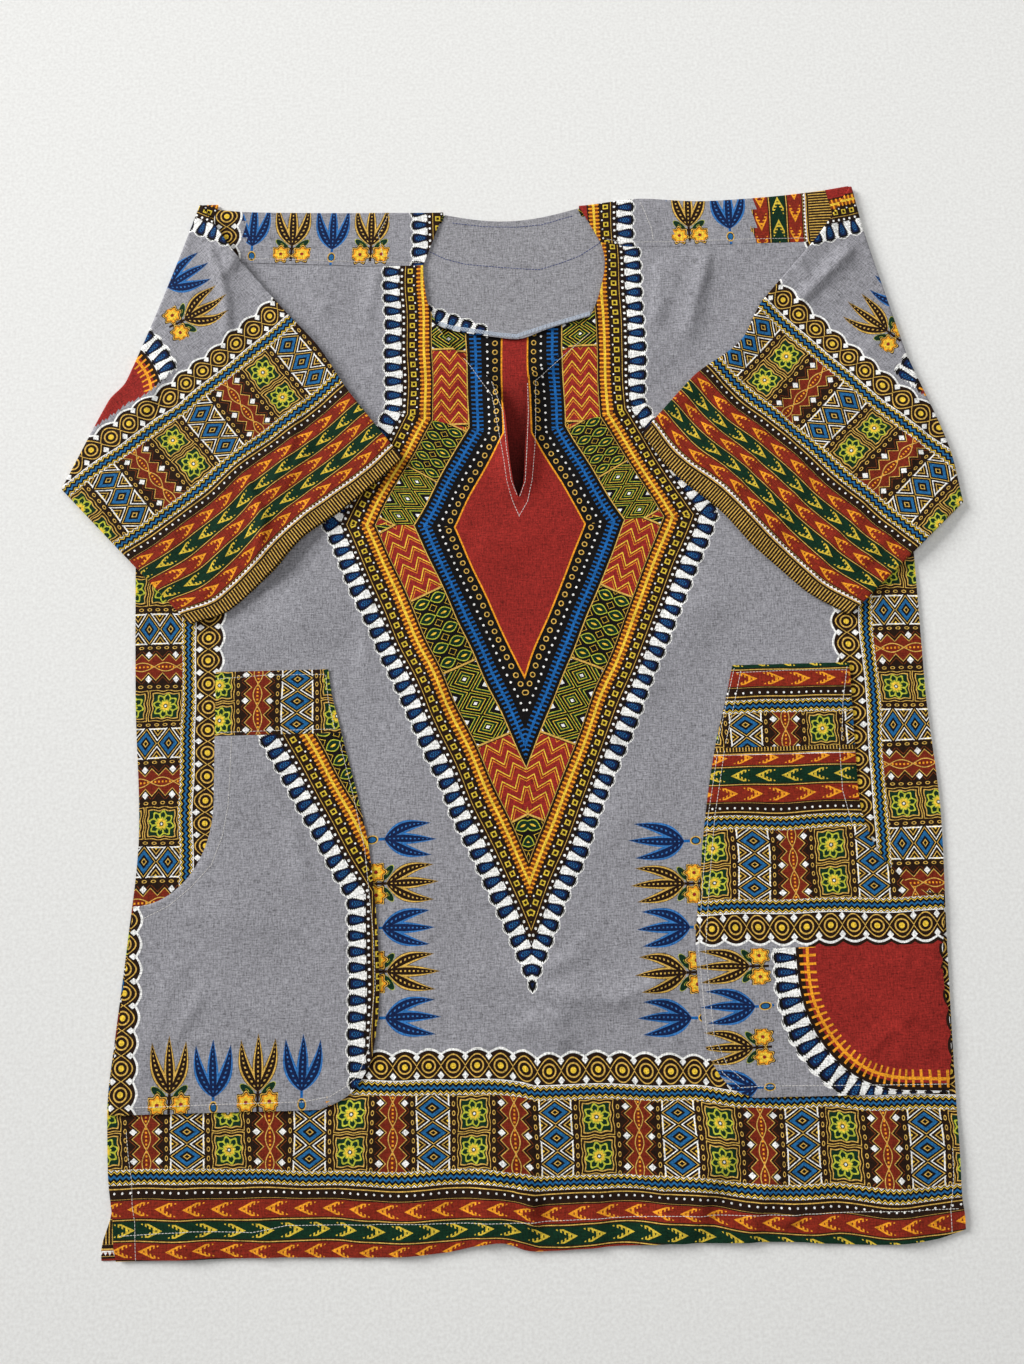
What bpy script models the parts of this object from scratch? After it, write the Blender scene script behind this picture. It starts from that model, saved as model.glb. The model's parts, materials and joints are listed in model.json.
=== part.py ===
"""A dashiki shirt laid flat on its back, with both sleeves folded in over the front.

The garment is cut as a front, a back that wraps over the shoulders, two tube sleeves, a back neck
facing and two side pockets, each with a top band. Every piece is a closed wall of cloth.

Sizes are millimetres. X runs to the right across the shirt as it is seen from above with the neck at
the top, Y from the hem to the neck and Z up from the floor. Left and right are meant in that view.
The tables measure from the hem and the middle of the front, and at the end the origin is moved under
the middle of the bounding box.
"""

import math
from collections import namedtuple

import bmesh
import bpy

MM = 0.001

# --- The cloth and its layers ---------------------------------------------------------------------

WALL = 1.0
GAP = 0.3
LAYER = WALL + GAP  # from the underside of one layer to the underside of the next
FRONT_LAYER = 1 * LAYER
POCKET_LAYER = 2 * LAYER
SLEEVE_TURN = 2 * LAYER - GAP / 2  # height of the line that a sleeve is folded about
SLEEVE_TURN_LENGTH = math.pi * LAYER  # cloth taken up by the half turn of a folded sleeve
TURN_STEPS = 4

# --- The outline of the body ----------------------------------------------------------------------

Side = namedtuple("Side", "up left right")
UNDERARM = 569.0
FRONT_SIDES = (
    Side(0, -302, 301),
    Side(12, -304, 301),
    Side(28, -305, 300),
    Side(58, -309, 301),
    Side(105, -311, 302),
    Side(150, -307, 303),
    Side(215, -300, 305),
    Side(300, -293, 308),
    Side(400, -298, 304),
    Side(UNDERARM, -302, 304),
)
# The armholes slant in from the underarm to the shoulder fold.
ARMHOLE_TOP = 806.0
ARMHOLE_LEFT_TOP = -241.0
ARMHOLE_RIGHT_TOP = 256.0

# The back is a little longer and wider than the front at its lower left corner.
BACK_CORNER_OUT = 11.0
BACK_CORNER_HEIGHT = 40.0

Wave = namedtuple("Wave", "across rise")
HEM = (
    Wave(-302, 0),
    Wave(-200, 0),
    Wave(-110, -2),
    Wave(-70, 0),
    Wave(-30, 6),
    Wave(-4, -1),
    Wave(77, 2),
    Wave(169, 1),
    Wave(240, -3),
    Wave(279, 0),
    Wave(302, 6),
)
HEM_FADE = 60.0  # the hem's waves die out over this height

SHOULDER_FOLD = (
    Wave(-262, 806),
    Wave(-215, 800),
    Wave(-133, 797),
    Wave(-57, 795),
    Wave(54, 798),
    Wave(104, 803),
    Wave(154, 800),
    Wave(203, 802),
    Wave(276, 809),
)
SHOULDER_SEAM = (
    Wave(-262, 758),
    Wave(-74, 748),
    Wave(73, 764),
    Wave(93, 760),
    Wave(262, 762),
)

# --- The neck -------------------------------------------------------------------------------------

Neck = namedtuple("Neck", "up left right")
SLIT_TIP = 552.0
SLIT_TIP_ACROSS = -2.0
SLIT_TOP = 645.0
NECK_EDGES = (
    Neck(SLIT_TIP, SLIT_TIP_ACROSS, SLIT_TIP_ACROSS),
    Neck(564, -6, 2),
    Neck(590, -9, 4),
    Neck(620, -11, 6),
    Neck(SLIT_TOP, -20, 6),
    Neck(672, -47, 38),
    Neck(700, -65, 59),
    Neck(722, -72, 68),
    Neck(748, -74, 73),
    Neck(770, -68, 69),
)
STRIP_NECK_LEFT = -57.0  # where the neck edge meets the shoulder fold
STRIP_NECK_RIGHT = 54.0
BACK_NECK_DIP = 8.0

FACING_LEFT = -84.0
FACING_RIGHT = 84.0
FACING_LOWER = (
    Wave(FACING_LEFT, 702),
    Wave(-53, 693),
    Wave(-16, 686),
    Wave(0, 684),
    Wave(25, 692),
    Wave(60, 702),
    Wave(FACING_RIGHT, 707),
)
FACING_TOP_TAPER = 16.0  # the facing is this much narrower, each side, at its upper edge
FACING_UNDER_FOLD = 8.0  # kept clear below the shoulder fold

# --- Pockets --------------------------------------------------------------------------------------

PocketEdge = namedtuple("PocketEdge", "up across")
POCKET_BOTTOM = 99.0
POCKET_LEFT_INNER = (
    PocketEdge(POCKET_BOTTOM, -158),
    PocketEdge(104, -144),
    PocketEdge(113, -132),
    PocketEdge(137, -119),
    PocketEdge(186, -114),
    PocketEdge(221, -115),
    PocketEdge(284, -121),
    PocketEdge(322, -129),
    PocketEdge(370, -141),
    PocketEdge(404, -149),
    PocketEdge(419, -151),
)
POCKET_RIGHT_INNER = (
    PocketEdge(POCKET_BOTTOM, 156),
    PocketEdge(104, 143),
    PocketEdge(115, 132),
    PocketEdge(139, 122),
    PocketEdge(203, 119),
    PocketEdge(249, 124),
    PocketEdge(301, 131),
    PocketEdge(352, 141),
    PocketEdge(388, 151),
    PocketEdge(416, 158),
)
Pocket = namedtuple("Pocket", "side inner band_low band_high mouth_low mouth_radius mouth_edge")
POCKET_LEFT = Pocket("left", POCKET_LEFT_INNER, 371.0, 420.0, 246.0, 76.0, -237.0)
POCKET_RIGHT = Pocket("right", POCKET_RIGHT_INNER, 352.0, 415.0, 240.0, 80.0, 247.0)
POCKET_SIDE_CLEAR = 1.5  # from the side edge of the front to the edge of the pocket
POCKET_MARGIN = 10.0  # the front is smooth this far round a pocket
POCKET_MARGIN_FADE = 25.0

# --- Sleeves --------------------------------------------------------------------------------------

# A sleeve is folded along the line from fold_top to fold_under. The cuff's corners are given where
# they lie after the fold. The edges then ease in or out of the straight by the amounts in the tables.
Sleeve = namedtuple("Sleeve", "armhole_top armhole_under fold_top fold_under cuff_top cuff_under"
                    " top_ease cuff_ease fold_ease ripples")
Ease = namedtuple("Ease", "part out")
Ripple = namedtuple("Ripple", "x0 y0 x1 y1 width height")

SLEEVE_LEFT = Sleeve(
    armhole_top=(ARMHOLE_LEFT_TOP, ARMHOLE_TOP),
    armhole_under=(-302.0, UNDERARM),
    fold_top=(-253.0, 806.0),
    fold_under=(-357.0, 569.0),
    cuff_top=(-93.0, 585.0),
    cuff_under=(-256.0, 458.0),
    top_ease=(Ease(0, 0), Ease(0.2, -4), Ease(0.4, -2), Ease(0.58, 2), Ease(0.75, -1), Ease(1, 0)),
    cuff_ease=(Ease(0, 0), Ease(0.3, 2), Ease(0.45, 0), Ease(0.65, 7), Ease(0.85, 10), Ease(1, 0)),
    fold_ease=(Ease(0, 0), Ease(0.25, -5), Ease(0.47, -8), Ease(0.62, -9), Ease(0.7, -3), Ease(1, 0)),
    ripples=(
        Ripple(-233, 770, -222, 690, 9, 1.6),
        Ripple(-230, 530, -170, 512, 14, 1.8),
        Ripple(-205, 500, -196, 560, 12, 1.2),
        Ripple(-300, 560, -262, 500, 12, 1.5),
    ),
)
SLEEVE_RIGHT = Sleeve(
    armhole_top=(ARMHOLE_RIGHT_TOP, ARMHOLE_TOP),
    armhole_under=(304.0, UNDERARM),
    fold_top=(275.0, 809.0),
    fold_under=(343.0, 541.0),
    cuff_top=(97.0, 600.0),
    cuff_under=(249.0, 452.0),
    top_ease=(Ease(0, 0), Ease(0.2, -7), Ease(0.45, -6), Ease(0.59, -13), Ease(0.78, -2), Ease(1, 0)),
    cuff_ease=(Ease(0, 0), Ease(0.2, 6), Ease(0.4, 4), Ease(0.6, 8), Ease(0.8, 8), Ease(1, 0)),
    fold_ease=(Ease(0, 0), Ease(0.25, -3), Ease(0.3, 3), Ease(0.6, 6), Ease(0.85, 4), Ease(1, 0)),
    ripples=(
        Ripple(284, 760, 226, 708, 9, 1.6),
        Ripple(200, 560, 250, 500, 14, 1.8),
        Ripple(150, 600, 190, 530, 14, 1.6),
    ),
)
SLEEVE_INNER_STEPS = 4
SLEEVE_OUTER_STEPS = 11
SLEEVE_ACROSS_STEPS = 9
SLEEVE_ROUND_STEPS = 2
CUFF_LIFT = 2.0  # the upper layer of the cuff stands this much off the lower one in its middle
RIPPLE_START = 25.0  # ripples grow over this distance from the fold

# --- The front's creases --------------------------------------------------------------------------

FRONT_CREASES = (
    Ripple(72, -5, 130, 66, 14, 3.0),
    Ripple(128, -5, 168, 50, 13, 2.0),
    Ripple(-30, -5, -26, 60, 15, 3.0),
    Ripple(-96, -5, -84, 40, 16, 1.5),
    Ripple(262, -5, 248, 60, 15, 2.0),
    Ripple(-250, -5, -256, 50, 16, 1.4),
    Ripple(20, 168, 96, 176, 12, 1.8),
    Ripple(-40, 186, 28, 178, 13, 1.2),
    Ripple(-70, 520, -62, 420, 20, 1.5),
    Ripple(150, 470, 92, 420, 18, 1.5),
    Ripple(-176, 462, -120, 424, 14, 1.4),
    Ripple(136, 742, 134, 690, 12, 1.6),
    Ripple(-150, 742, -128, 690, 16, 1.2),
)
LIFT_HALF_WIDTH = 100.0  # the front and strips pass over the back neck facing here
LIFT_LOWEST = 670.0
LIFT_FADE = 35.0

# --- How finely each piece is divided -------------------------------------------------------------

FRONT_COLUMNS = 13
HEM_ROW_STEP = 12.0
ROW_STEP = 20.0
NECK_ROW_STEP = 11.0
BACK_SIDE_COLUMNS = 6
BACK_NECK_COLUMNS = 6
BACK_ROW_STEP = 48.0
STRIP_STEPS = 4
POCKET_COLUMNS = 7
POCKET_CORNER_HEIGHT = 32.0
POCKET_CORNER_STEP = 5.0
POCKET_SIDE_STEP = 22.0
POCKET_ROW_STEP = 15.0
MOUTH_STEPS = 6
FACING_COLUMNS = 10
FACING_ROWS = 5
SHARP_ANGLE = 40.0  # degrees

# --- Colours --------------------------------------------------------------------------------------

GREY = (0.30, 0.30, 0.33)
PLAIN_GREY = (0.25, 0.25, 0.27)
BRICK = (0.32, 0.04, 0.035)
GOLD = (0.50, 0.33, 0.10)
ROUGHNESS = 0.9

# --- Arithmetic -----------------------------------------------------------------------------------


def smooth_step(x):
    """0 below 0, 1 above 1, and level at both."""
    x = min(max(x, 0.0), 1.0)
    return x * x * (3 - 2 * x)


def mix(a, b, part):
    return a + (b - a) * part


def mix_points(p, q, part):
    return mix(p[0], q[0], part), mix(p[1], q[1], part)


def read(table, key, value, at):
    """A table's value column at a place in its key column, on a smooth curve through its rows."""
    keys = [getattr(row, key) for row in table]
    values = [getattr(row, value) for row in table]
    if at <= keys[0]:
        return values[0]
    if at >= keys[-1]:
        return values[-1]
    n = next(i for i in range(1, len(keys)) if at <= keys[i])
    slopes = [(values[i + 1] - values[i]) / (keys[i + 1] - keys[i]) for i in range(len(keys) - 1)]

    def tangent(i):
        if i in (0, len(keys) - 1):
            return slopes[max(i - 1, 0)]
        before, after = slopes[i - 1], slopes[i]
        if before * after <= 0:
            return 0.0
        return 2 * before * after / (before + after)

    span = keys[n] - keys[n - 1]
    t = (at - keys[n - 1]) / span
    rise = values[n] - values[n - 1]
    start, end = tangent(n - 1) * span, tangent(n) * span
    return values[n - 1] + t * start + t * t * (3 * rise - 2 * start - end) + t**3 * (start + end - 2 * rise)


def levels(low, high, step):
    """Heights from low to high, evenly spaced and about a step apart."""
    count = max(1, round((high - low) / step))
    return [mix(low, high, i / count) for i in range(count + 1)]


def ridge(x, y, ripple):
    """The height of a soft ridge along a line, with rounded ends."""
    dx, dy = ripple.x1 - ripple.x0, ripple.y1 - ripple.y0
    part = ((x - ripple.x0) * dx + (y - ripple.y0) * dy) / (dx * dx + dy * dy)
    part = min(max(part, 0.0), 1.0)
    off = math.hypot(x - ripple.x0 - part * dx, y - ripple.y0 - part * dy)
    return ripple.height * math.exp(-((off / ripple.width) ** 2))


# --- The shape that the layers share --------------------------------------------------------------


def side_edge(side, up):
    """Where the front's side seam or armhole lies at a height."""
    if up <= UNDERARM:
        return read(FRONT_SIDES, "up", side, up)
    top = ARMHOLE_LEFT_TOP if side == "left" else ARMHOLE_RIGHT_TOP
    return mix(side_edge(side, UNDERARM), top, (up - UNDERARM) / (ARMHOLE_TOP - UNDERARM))


def neck_edge(side, up):
    """Where the slit and the neckline lie at a height. Below the slit, the middle of the front."""
    return read(NECK_EDGES, "up", side, up)


def pocket_cover(x, y):
    """1 where a pocket lies on the front, which is smooth there, falling to 0 around it."""
    pocket = POCKET_LEFT if x < 0 else POCKET_RIGHT
    beside = abs(read(pocket.inner, "up", "across", y)) - abs(x) - POCKET_MARGIN
    above = max(POCKET_BOTTOM - y, y - pocket.band_high) - POCKET_MARGIN
    return (1 - smooth_step(beside / POCKET_MARGIN_FADE)) * (1 - smooth_step(above / POCKET_MARGIN_FADE))


def facing_lift(x, y):
    """How far the layers over the back neck facing are lifted by it."""
    beside = (abs(x) - LIFT_HALF_WIDTH) / LIFT_FADE
    below = (LIFT_LOWEST - y) / LIFT_FADE
    return LAYER * (1 - smooth_step(beside)) * (1 - smooth_step(below))


def relief(x, y):
    """The height of the front's creases and lifts above its flat layer."""
    creases = sum(ridge(x, y, crease) for crease in FRONT_CREASES)
    return facing_lift(x, y) + creases * (1 - pocket_cover(x, y))


def hem_shift(x, y):
    """How far a point near the hem moves with the hem's waves."""
    return read(HEM, "across", "rise", x) * (1 - smooth_step(y / HEM_FADE))


# --- Making a wall of cloth -----------------------------------------------------------------------


def cloth(name, colour, points, cells):
    """A closed wall: points maps a key to its (inner, outer) corners, cells lists the quads of keys."""
    mesh = bpy.data.meshes.new(name)
    shape = bmesh.new()
    inner = {key: shape.verts.new([c * MM for c in pair[0]]) for key, pair in points.items()}
    outer = {key: shape.verts.new([c * MM for c in pair[1]]) for key, pair in points.items()}
    uses = {}
    for cell in cells:
        shape.faces.new([outer[key] for key in cell])
        shape.faces.new([inner[key] for key in reversed(cell)])
        for a, b in zip(cell, cell[1:] + cell[:1]):
            uses.setdefault(frozenset((a, b)), []).append((a, b))
    for found in uses.values():
        if len(found) == 1:
            a, b = found[0]
            shape.faces.new([outer[b], outer[a], inner[a], inner[b]])
    bmesh.ops.triangulate(shape, faces=shape.faces[:])
    bmesh.ops.recalc_face_normals(shape, faces=shape.faces[:])
    shape.to_mesh(mesh)
    shape.free()
    mesh.shade_smooth()
    mesh.set_sharp_from_angle(angle=math.radians(SHARP_ANGLE))
    piece = bpy.data.objects.new(name, mesh)
    bpy.context.collection.objects.link(piece)
    finish = bpy.data.materials.new(name + "_cloth")
    finish.use_nodes = True
    shader = finish.node_tree.nodes["Principled BSDF"]
    shader.inputs["Base Color"].default_value = (*colour, 1.0)
    shader.inputs["Roughness"].default_value = ROUGHNESS
    shader.inputs["Metallic"].default_value = 0.0
    finish.diffuse_color = (*colour, 1.0)
    mesh.materials.append(finish)
    return piece


def laid(x, y, underside):
    """The inner and outer corners of a wall that lies flat at a height."""
    return (x, y, underside), (x, y, underside + WALL)


def grid_cells(rows, columns):
    """The quads of a grid whose keys are (row, column)."""
    return [
        ((r, c), (r, c + 1), (r + 1, c + 1), (r + 1, c)) for r in range(rows) for c in range(columns)
    ]



# --- The front ------------------------------------------------------------------------------------


def front_point(side, row_up, part):
    """A point of the front: part runs from 0 at the side to 1 at the middle, slit or neckline."""
    x = mix(side_edge(side, row_up), neck_edge(side, row_up), part)
    top = max(row.rise for row in SHOULDER_SEAM)
    seam = read(SHOULDER_SEAM, "across", "rise", x) - GAP / 2
    y = row_up + (seam - top) * smooth_step((row_up - SLIT_TOP) / (top - SLIT_TOP)) + hem_shift(x, row_up)
    x = mix(side_edge(side, y), neck_edge(side, y), part)
    return laid(x, y, FRONT_LAYER + relief(x, y))


def make_front():
    """Both halves of the front, joined below the slit."""
    top = max(row.rise for row in SHOULDER_SEAM)
    rows = levels(0, HEM_FADE, HEM_ROW_STEP)
    rows += levels(HEM_FADE, SLIT_TIP, ROW_STEP)[1:]
    rows += levels(SLIT_TIP, SLIT_TOP, NECK_ROW_STEP)[1:]
    rows += levels(SLIT_TOP, top, NECK_ROW_STEP)[1:]
    points, cells = {}, []

    def key(side, r, c):
        joined = c == FRONT_COLUMNS and rows[r] <= SLIT_TIP
        return ("middle", r) if joined else (side, r, c)

    for side in ("left", "right"):
        for r, up in enumerate(rows):
            for c in range(FRONT_COLUMNS + 1):
                points[key(side, r, c)] = front_point(side, up, c / FRONT_COLUMNS)
        for r in range(len(rows) - 1):
            for c in range(FRONT_COLUMNS):
                cell = (key(side, r, c), key(side, r, c + 1), key(side, r + 1, c + 1), key(side, r + 1, c))
                cells.append(cell if side == "left" else cell[::-1])
    return cloth("front_body", GREY, points, cells)


# --- The back, with its shoulder strips -----------------------------------------------------------


def back_side(side, up):
    """The back's side edge, which reaches past the front's at the lower left corner."""
    out = BACK_CORNER_OUT * (1 - smooth_step(up / BACK_CORNER_HEIGHT)) if side == "left" else 0.0
    return side_edge(side, up) - out


def back_column(column, up):
    """Where a column of the back lies at a height."""
    if column < BACK_SIDE_COLUMNS:
        return mix(back_side("left", up), STRIP_NECK_LEFT, column / BACK_SIDE_COLUMNS)
    column -= BACK_SIDE_COLUMNS
    if column < BACK_NECK_COLUMNS:
        return mix(STRIP_NECK_LEFT, STRIP_NECK_RIGHT, column / BACK_NECK_COLUMNS)
    column -= BACK_NECK_COLUMNS
    return mix(STRIP_NECK_RIGHT, back_side("right", up), column / BACK_SIDE_COLUMNS)


def fold_radius(x):
    """Half the distance between the middles of the back and of the strip above it, at the fold."""
    fold = read(SHOULDER_FOLD, "across", "rise", x)
    return (LAYER + relief(x, fold)) / 2


def back_top(x):
    """The back's last flat row: the neck edge between the strips, and the start of the fold beside it."""
    between = (x - STRIP_NECK_LEFT) / (STRIP_NECK_RIGHT - STRIP_NECK_LEFT)
    dip = BACK_NECK_DIP * math.sin(math.pi * between) if 0 < between < 1 else 0.0
    return read(SHOULDER_FOLD, "across", "rise", x) - fold_radius(x) - WALL / 2 - dip


def back_point(column, up):
    """A point of the back on the floor. Its rows bend to meet the neck edge and the shoulder fold."""
    stretch = smooth_step((up - UNDERARM) / (ARMHOLE_TOP - UNDERARM))
    y = up + (back_top(back_column(column, up)) - ARMHOLE_TOP) * stretch
    x = back_column(column, y)
    return x, y + hem_shift(x, up)


def strip_point(column, step):
    """A point of a shoulder strip: the turn over the fold, then the way down to the shoulder seam."""
    fold_x, start = back_point(column, ARMHOLE_TOP)
    radius = fold_radius(fold_x)
    if step <= TURN_STEPS:
        angle = math.pi * step / TURN_STEPS
        middle = (start + radius * math.sin(angle), WALL / 2 + radius * (1 - math.cos(angle)))
        away = (math.sin(angle), -math.cos(angle))
        x = fold_x
    else:
        part = (step - TURN_STEPS) / STRIP_STEPS
        left = column <= BACK_SIDE_COLUMNS
        side = "left" if left else "right"
        inner = (BACK_SIDE_COLUMNS - column) if left else (column - BACK_SIDE_COLUMNS - BACK_NECK_COLUMNS)
        seam = read(SHOULDER_SEAM, "across", "rise", fold_x) + GAP / 2
        seam_x = mix(neck_edge(side, seam), side_edge(side, seam), inner / BACK_SIDE_COLUMNS)
        x = mix(fold_x, seam_x, part)
        y = mix(start, read(SHOULDER_SEAM, "across", "rise", seam_x) + GAP / 2, part)
        middle = (y, FRONT_LAYER + WALL / 2 + relief(x, y))
        away = (0.0, 1.0)
    half = WALL / 2
    inside = (x, middle[0] - away[0] * half, middle[1] - away[1] * half)
    outside = (x, middle[0] + away[0] * half, middle[1] + away[1] * half)
    return inside, outside


def make_back():
    """The back on the floor, its neck edge, and the two strips that wrap over the shoulders."""
    columns = 2 * BACK_SIDE_COLUMNS + BACK_NECK_COLUMNS
    rows = levels(0, HEM_FADE, HEM_ROW_STEP)
    rows += levels(HEM_FADE, UNDERARM, BACK_ROW_STEP)[1:]
    rows += levels(UNDERARM, ARMHOLE_TOP, BACK_ROW_STEP)[1:]
    points = {}
    for r, up in enumerate(rows):
        for c in range(columns + 1):
            x, y = back_point(c, up)
            points[r, c] = ((x, y, WALL), (x, y, 0.0))
    cells = grid_cells(len(rows) - 1, columns)
    last = len(rows) - 1
    strips = (range(BACK_SIDE_COLUMNS), range(BACK_SIDE_COLUMNS + BACK_NECK_COLUMNS, columns))
    for strip in strips:
        for step in range(1, TURN_STEPS + STRIP_STEPS + 1):
            for c in (*strip, strip[-1] + 1):
                points[last + step, c] = strip_point(c, step)
            for c in strip:
                r = last + step - 1
                cells.append(((r, c), (r, c + 1), (r + 1, c + 1), (r + 1, c)))
    return cloth("back_body", GOLD, points, cells)


# --- The back neck facing -------------------------------------------------------------------------


def make_facing():
    """The plain facing sewn inside the back neck, which shows through the neck opening."""
    points = {}
    for r in range(FACING_ROWS + 1):
        part = r / FACING_ROWS
        taper = FACING_TOP_TAPER * part * part
        for c in range(FACING_COLUMNS + 1):
            low_x = mix(FACING_LEFT, FACING_RIGHT, c / FACING_COLUMNS)
            x = mix(FACING_LEFT + taper, FACING_RIGHT - taper, c / FACING_COLUMNS)
            low = read(FACING_LOWER, "across", "rise", low_x)
            outside = STRIP_NECK_LEFT <= x <= STRIP_NECK_RIGHT
            high = back_top(x) - (GAP if outside else FACING_UNDER_FOLD)
            points[r, c] = laid(x, mix(low, high, part), FRONT_LAYER)
    return cloth("neck_facing_back", PLAIN_GREY, points, grid_cells(FACING_ROWS, FACING_COLUMNS))


# --- Pockets --------------------------------------------------------------------------------------


def pocket_outer(pocket, up):
    """The pocket's outer edge: the side seam below, then the curve of the mouth up to the band."""
    clear = POCKET_SIDE_CLEAR if pocket.side == "left" else -POCKET_SIDE_CLEAR
    if up <= pocket.mouth_low:
        return side_edge(pocket.side, up) + clear
    start = side_edge(pocket.side, pocket.mouth_low) + clear
    angle = math.acos(1 - min((up - pocket.mouth_low) / pocket.mouth_radius, 1.0))
    return mix(start, pocket.mouth_edge, math.sin(angle))


def make_pocket(pocket, colour, band_colour):
    """A side pocket, whose mouth is a quarter of an ellipse, and the band above it."""
    rows = levels(POCKET_BOTTOM, POCKET_BOTTOM + POCKET_CORNER_HEIGHT, POCKET_CORNER_STEP)
    rows += levels(rows[-1], pocket.mouth_low, POCKET_SIDE_STEP)[1:]
    for i in range(1, MOUTH_STEPS + 1):
        turn = math.pi / 2 * i / MOUTH_STEPS
        rows.append(pocket.mouth_low + pocket.mouth_radius * (1 - math.cos(turn)))
    rows += levels(rows[-1], pocket.band_low - GAP / 2, POCKET_ROW_STEP)[1:]
    band_rows = levels(pocket.band_low + GAP / 2, pocket.band_high, POCKET_ROW_STEP)
    lay_rows("pocket_" + pocket.side, colour, pocket, rows)
    lay_rows("pocket_" + pocket.side + "_band", band_colour, pocket, band_rows)


def lay_rows(name, colour, pocket, rows):
    """A stretch of a pocket between its outer and inner edges, raised from the front's own points."""
    points = {}
    for r, up in enumerate(rows):
        outer, inner = pocket_outer(pocket, up), read(pocket.inner, "up", "across", up)
        for c in range(POCKET_COLUMNS + 1):
            x = mix(outer, inner, c / POCKET_COLUMNS)
            points[r, c] = laid(x, up, POCKET_LAYER + relief(x, up))
    cloth(name, colour, points, grid_cells(len(rows) - 1, POCKET_COLUMNS))


# --- Sleeves --------------------------------------------------------------------------------------


class FoldLine:
    """The diagonal that a sleeve is folded about, with the sleeve's far end on its outer side."""

    def __init__(self, sleeve):
        (x0, y0), (x1, y1) = sleeve.fold_top, sleeve.fold_under
        self.length = math.hypot(x1 - x0, y1 - y0)
        self.start = sleeve.fold_top
        self.along = ((x1 - x0) / self.length, (y1 - y0) / self.length)
        turned = (-self.along[1], self.along[0])
        outward = -1 if turned[0] * x0 < 0 else 1
        self.out = (turned[0] * outward, turned[1] * outward)

    def measure(self, point):
        """How far along the line, and how far outside it, a point lies."""
        dx, dy = point[0] - self.start[0], point[1] - self.start[1]
        return dx * self.along[0] + dy * self.along[1], dx * self.out[0] + dy * self.out[1]

    def place(self, along, out):
        return tuple(self.start[i] + along * self.along[i] + out * self.out[i] for i in range(2))

    def unfold(self, point):
        """A point of the folded sleeve, laid out flat again."""
        along, out = self.measure(point)
        return self.place(along, SLEEVE_TURN_LENGTH - out)

    def crossing(self, p, q, out):
        """Where the line from p to q is a given distance outside the fold."""
        first, second = self.measure(p)[1], self.measure(q)[1]
        return mix_points(p, q, (out - first) / (second - first))


def eased(p, q, part, table, middle):
    """A point between p and q, moved away from the middle by the table's amount."""
    x, y = mix_points(p, q, part)
    length = math.hypot(q[0] - p[0], q[1] - p[1])
    nx, ny = (q[1] - p[1]) / length, -(q[0] - p[0]) / length
    if nx * (x - middle[0]) + ny * (y - middle[1]) < 0:
        nx, ny = -nx, -ny
    out = read(table, "part", "out", part)
    return x + nx * out, y + ny * out


# A line across the flat sleeve, its place from the fold (0) to the cuff (1), and how far it follows
# the ease of the folded edge.
Station = namedtuple("Station", "top under part follow")


def sleeve_stations(sleeve, line):
    """Lines across the flat sleeve from its shoulder edge to its underarm edge, armhole to cuff."""
    cuff_top, cuff_under = line.unfold(sleeve.cuff_top), line.unfold(sleeve.cuff_under)
    away = GAP if line.out[0] > 0 else -GAP
    start_top = (sleeve.armhole_top[0] + away, sleeve.armhole_top[1])
    start_under = (sleeve.armhole_under[0] + away, sleeve.armhole_under[1])
    stations = []
    for i in range(SLEEVE_INNER_STEPS):
        part = i / SLEEVE_INNER_STEPS
        stations.append(Station(
            mix_points(start_top, sleeve.fold_top, part),
            mix_points(start_under, sleeve.fold_under, part),
            0.0,
            part,
        ))
    for i in range(TURN_STEPS + 1):
        out = SLEEVE_TURN_LENGTH * i / TURN_STEPS
        stations.append(Station(
            line.crossing(sleeve.fold_top, cuff_top, out),
            line.crossing(sleeve.fold_under, cuff_under, out),
            0.0,
            1.0,
        ))
    turned_top, turned_under = stations[-1].top, stations[-1].under
    middle = mix_points(mix_points(turned_top, cuff_top, 0.5), mix_points(turned_under, cuff_under, 0.5), 0.5)
    for i in range(1, SLEEVE_OUTER_STEPS + 1):
        part = i / SLEEVE_OUTER_STEPS
        stations.append(Station(
            eased(turned_top, cuff_top, part, sleeve.top_ease, middle),
            mix_points(turned_under, cuff_under, part),
            part,
            (1 - part) ** 2,
        ))
    return stations


def sleeve_loop(station, sleeve, centre):
    """One loop of the flattened tube: (x, y, height, outward direction, place across)."""
    top, under, part = station.top, station.under, station.part
    loop = []
    length = math.hypot(under[0] - top[0], under[1] - top[1])
    edge = ((top[0] - under[0]) / length, (top[1] - under[1]) / length)
    for upper in (False, True):
        for i in range(SLEEVE_ACROSS_STEPS + 1):
            across = i / SLEEVE_ACROSS_STEPS if upper else 1 - i / SLEEVE_ACROSS_STEPS
            x, y = mix_points(top, under, across)
            if part > 0:
                ex, ey = eased(top, under, across, sleeve.cuff_ease, centre)
                x, y = mix(x, ex, part**2), mix(y, ey, part**2)
            height = WALL / 2 + (LAYER if upper else 0.0)
            loop.append((x, y, height, (0.0, 0.0, 1.0 if upper else -1.0), across))
        end, way = (top, 1.0) if not upper else (under, -1.0)
        for i in range(1, SLEEVE_ROUND_STEPS):
            angle = math.pi * i / SLEEVE_ROUND_STEPS
            if upper:
                angle = math.pi - angle
            reach, rise = math.sin(angle), -math.cos(angle)
            x = end[0] + edge[0] * way * reach * LAYER / 2
            y = end[1] + edge[1] * way * reach * LAYER / 2
            height = WALL / 2 + LAYER / 2 + rise * LAYER / 2
            away = (edge[0] * way * reach, edge[1] * way * reach, rise)
            loop.append((x, y, height, away, 1.0 if upper else 0.0))
    return loop


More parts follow.
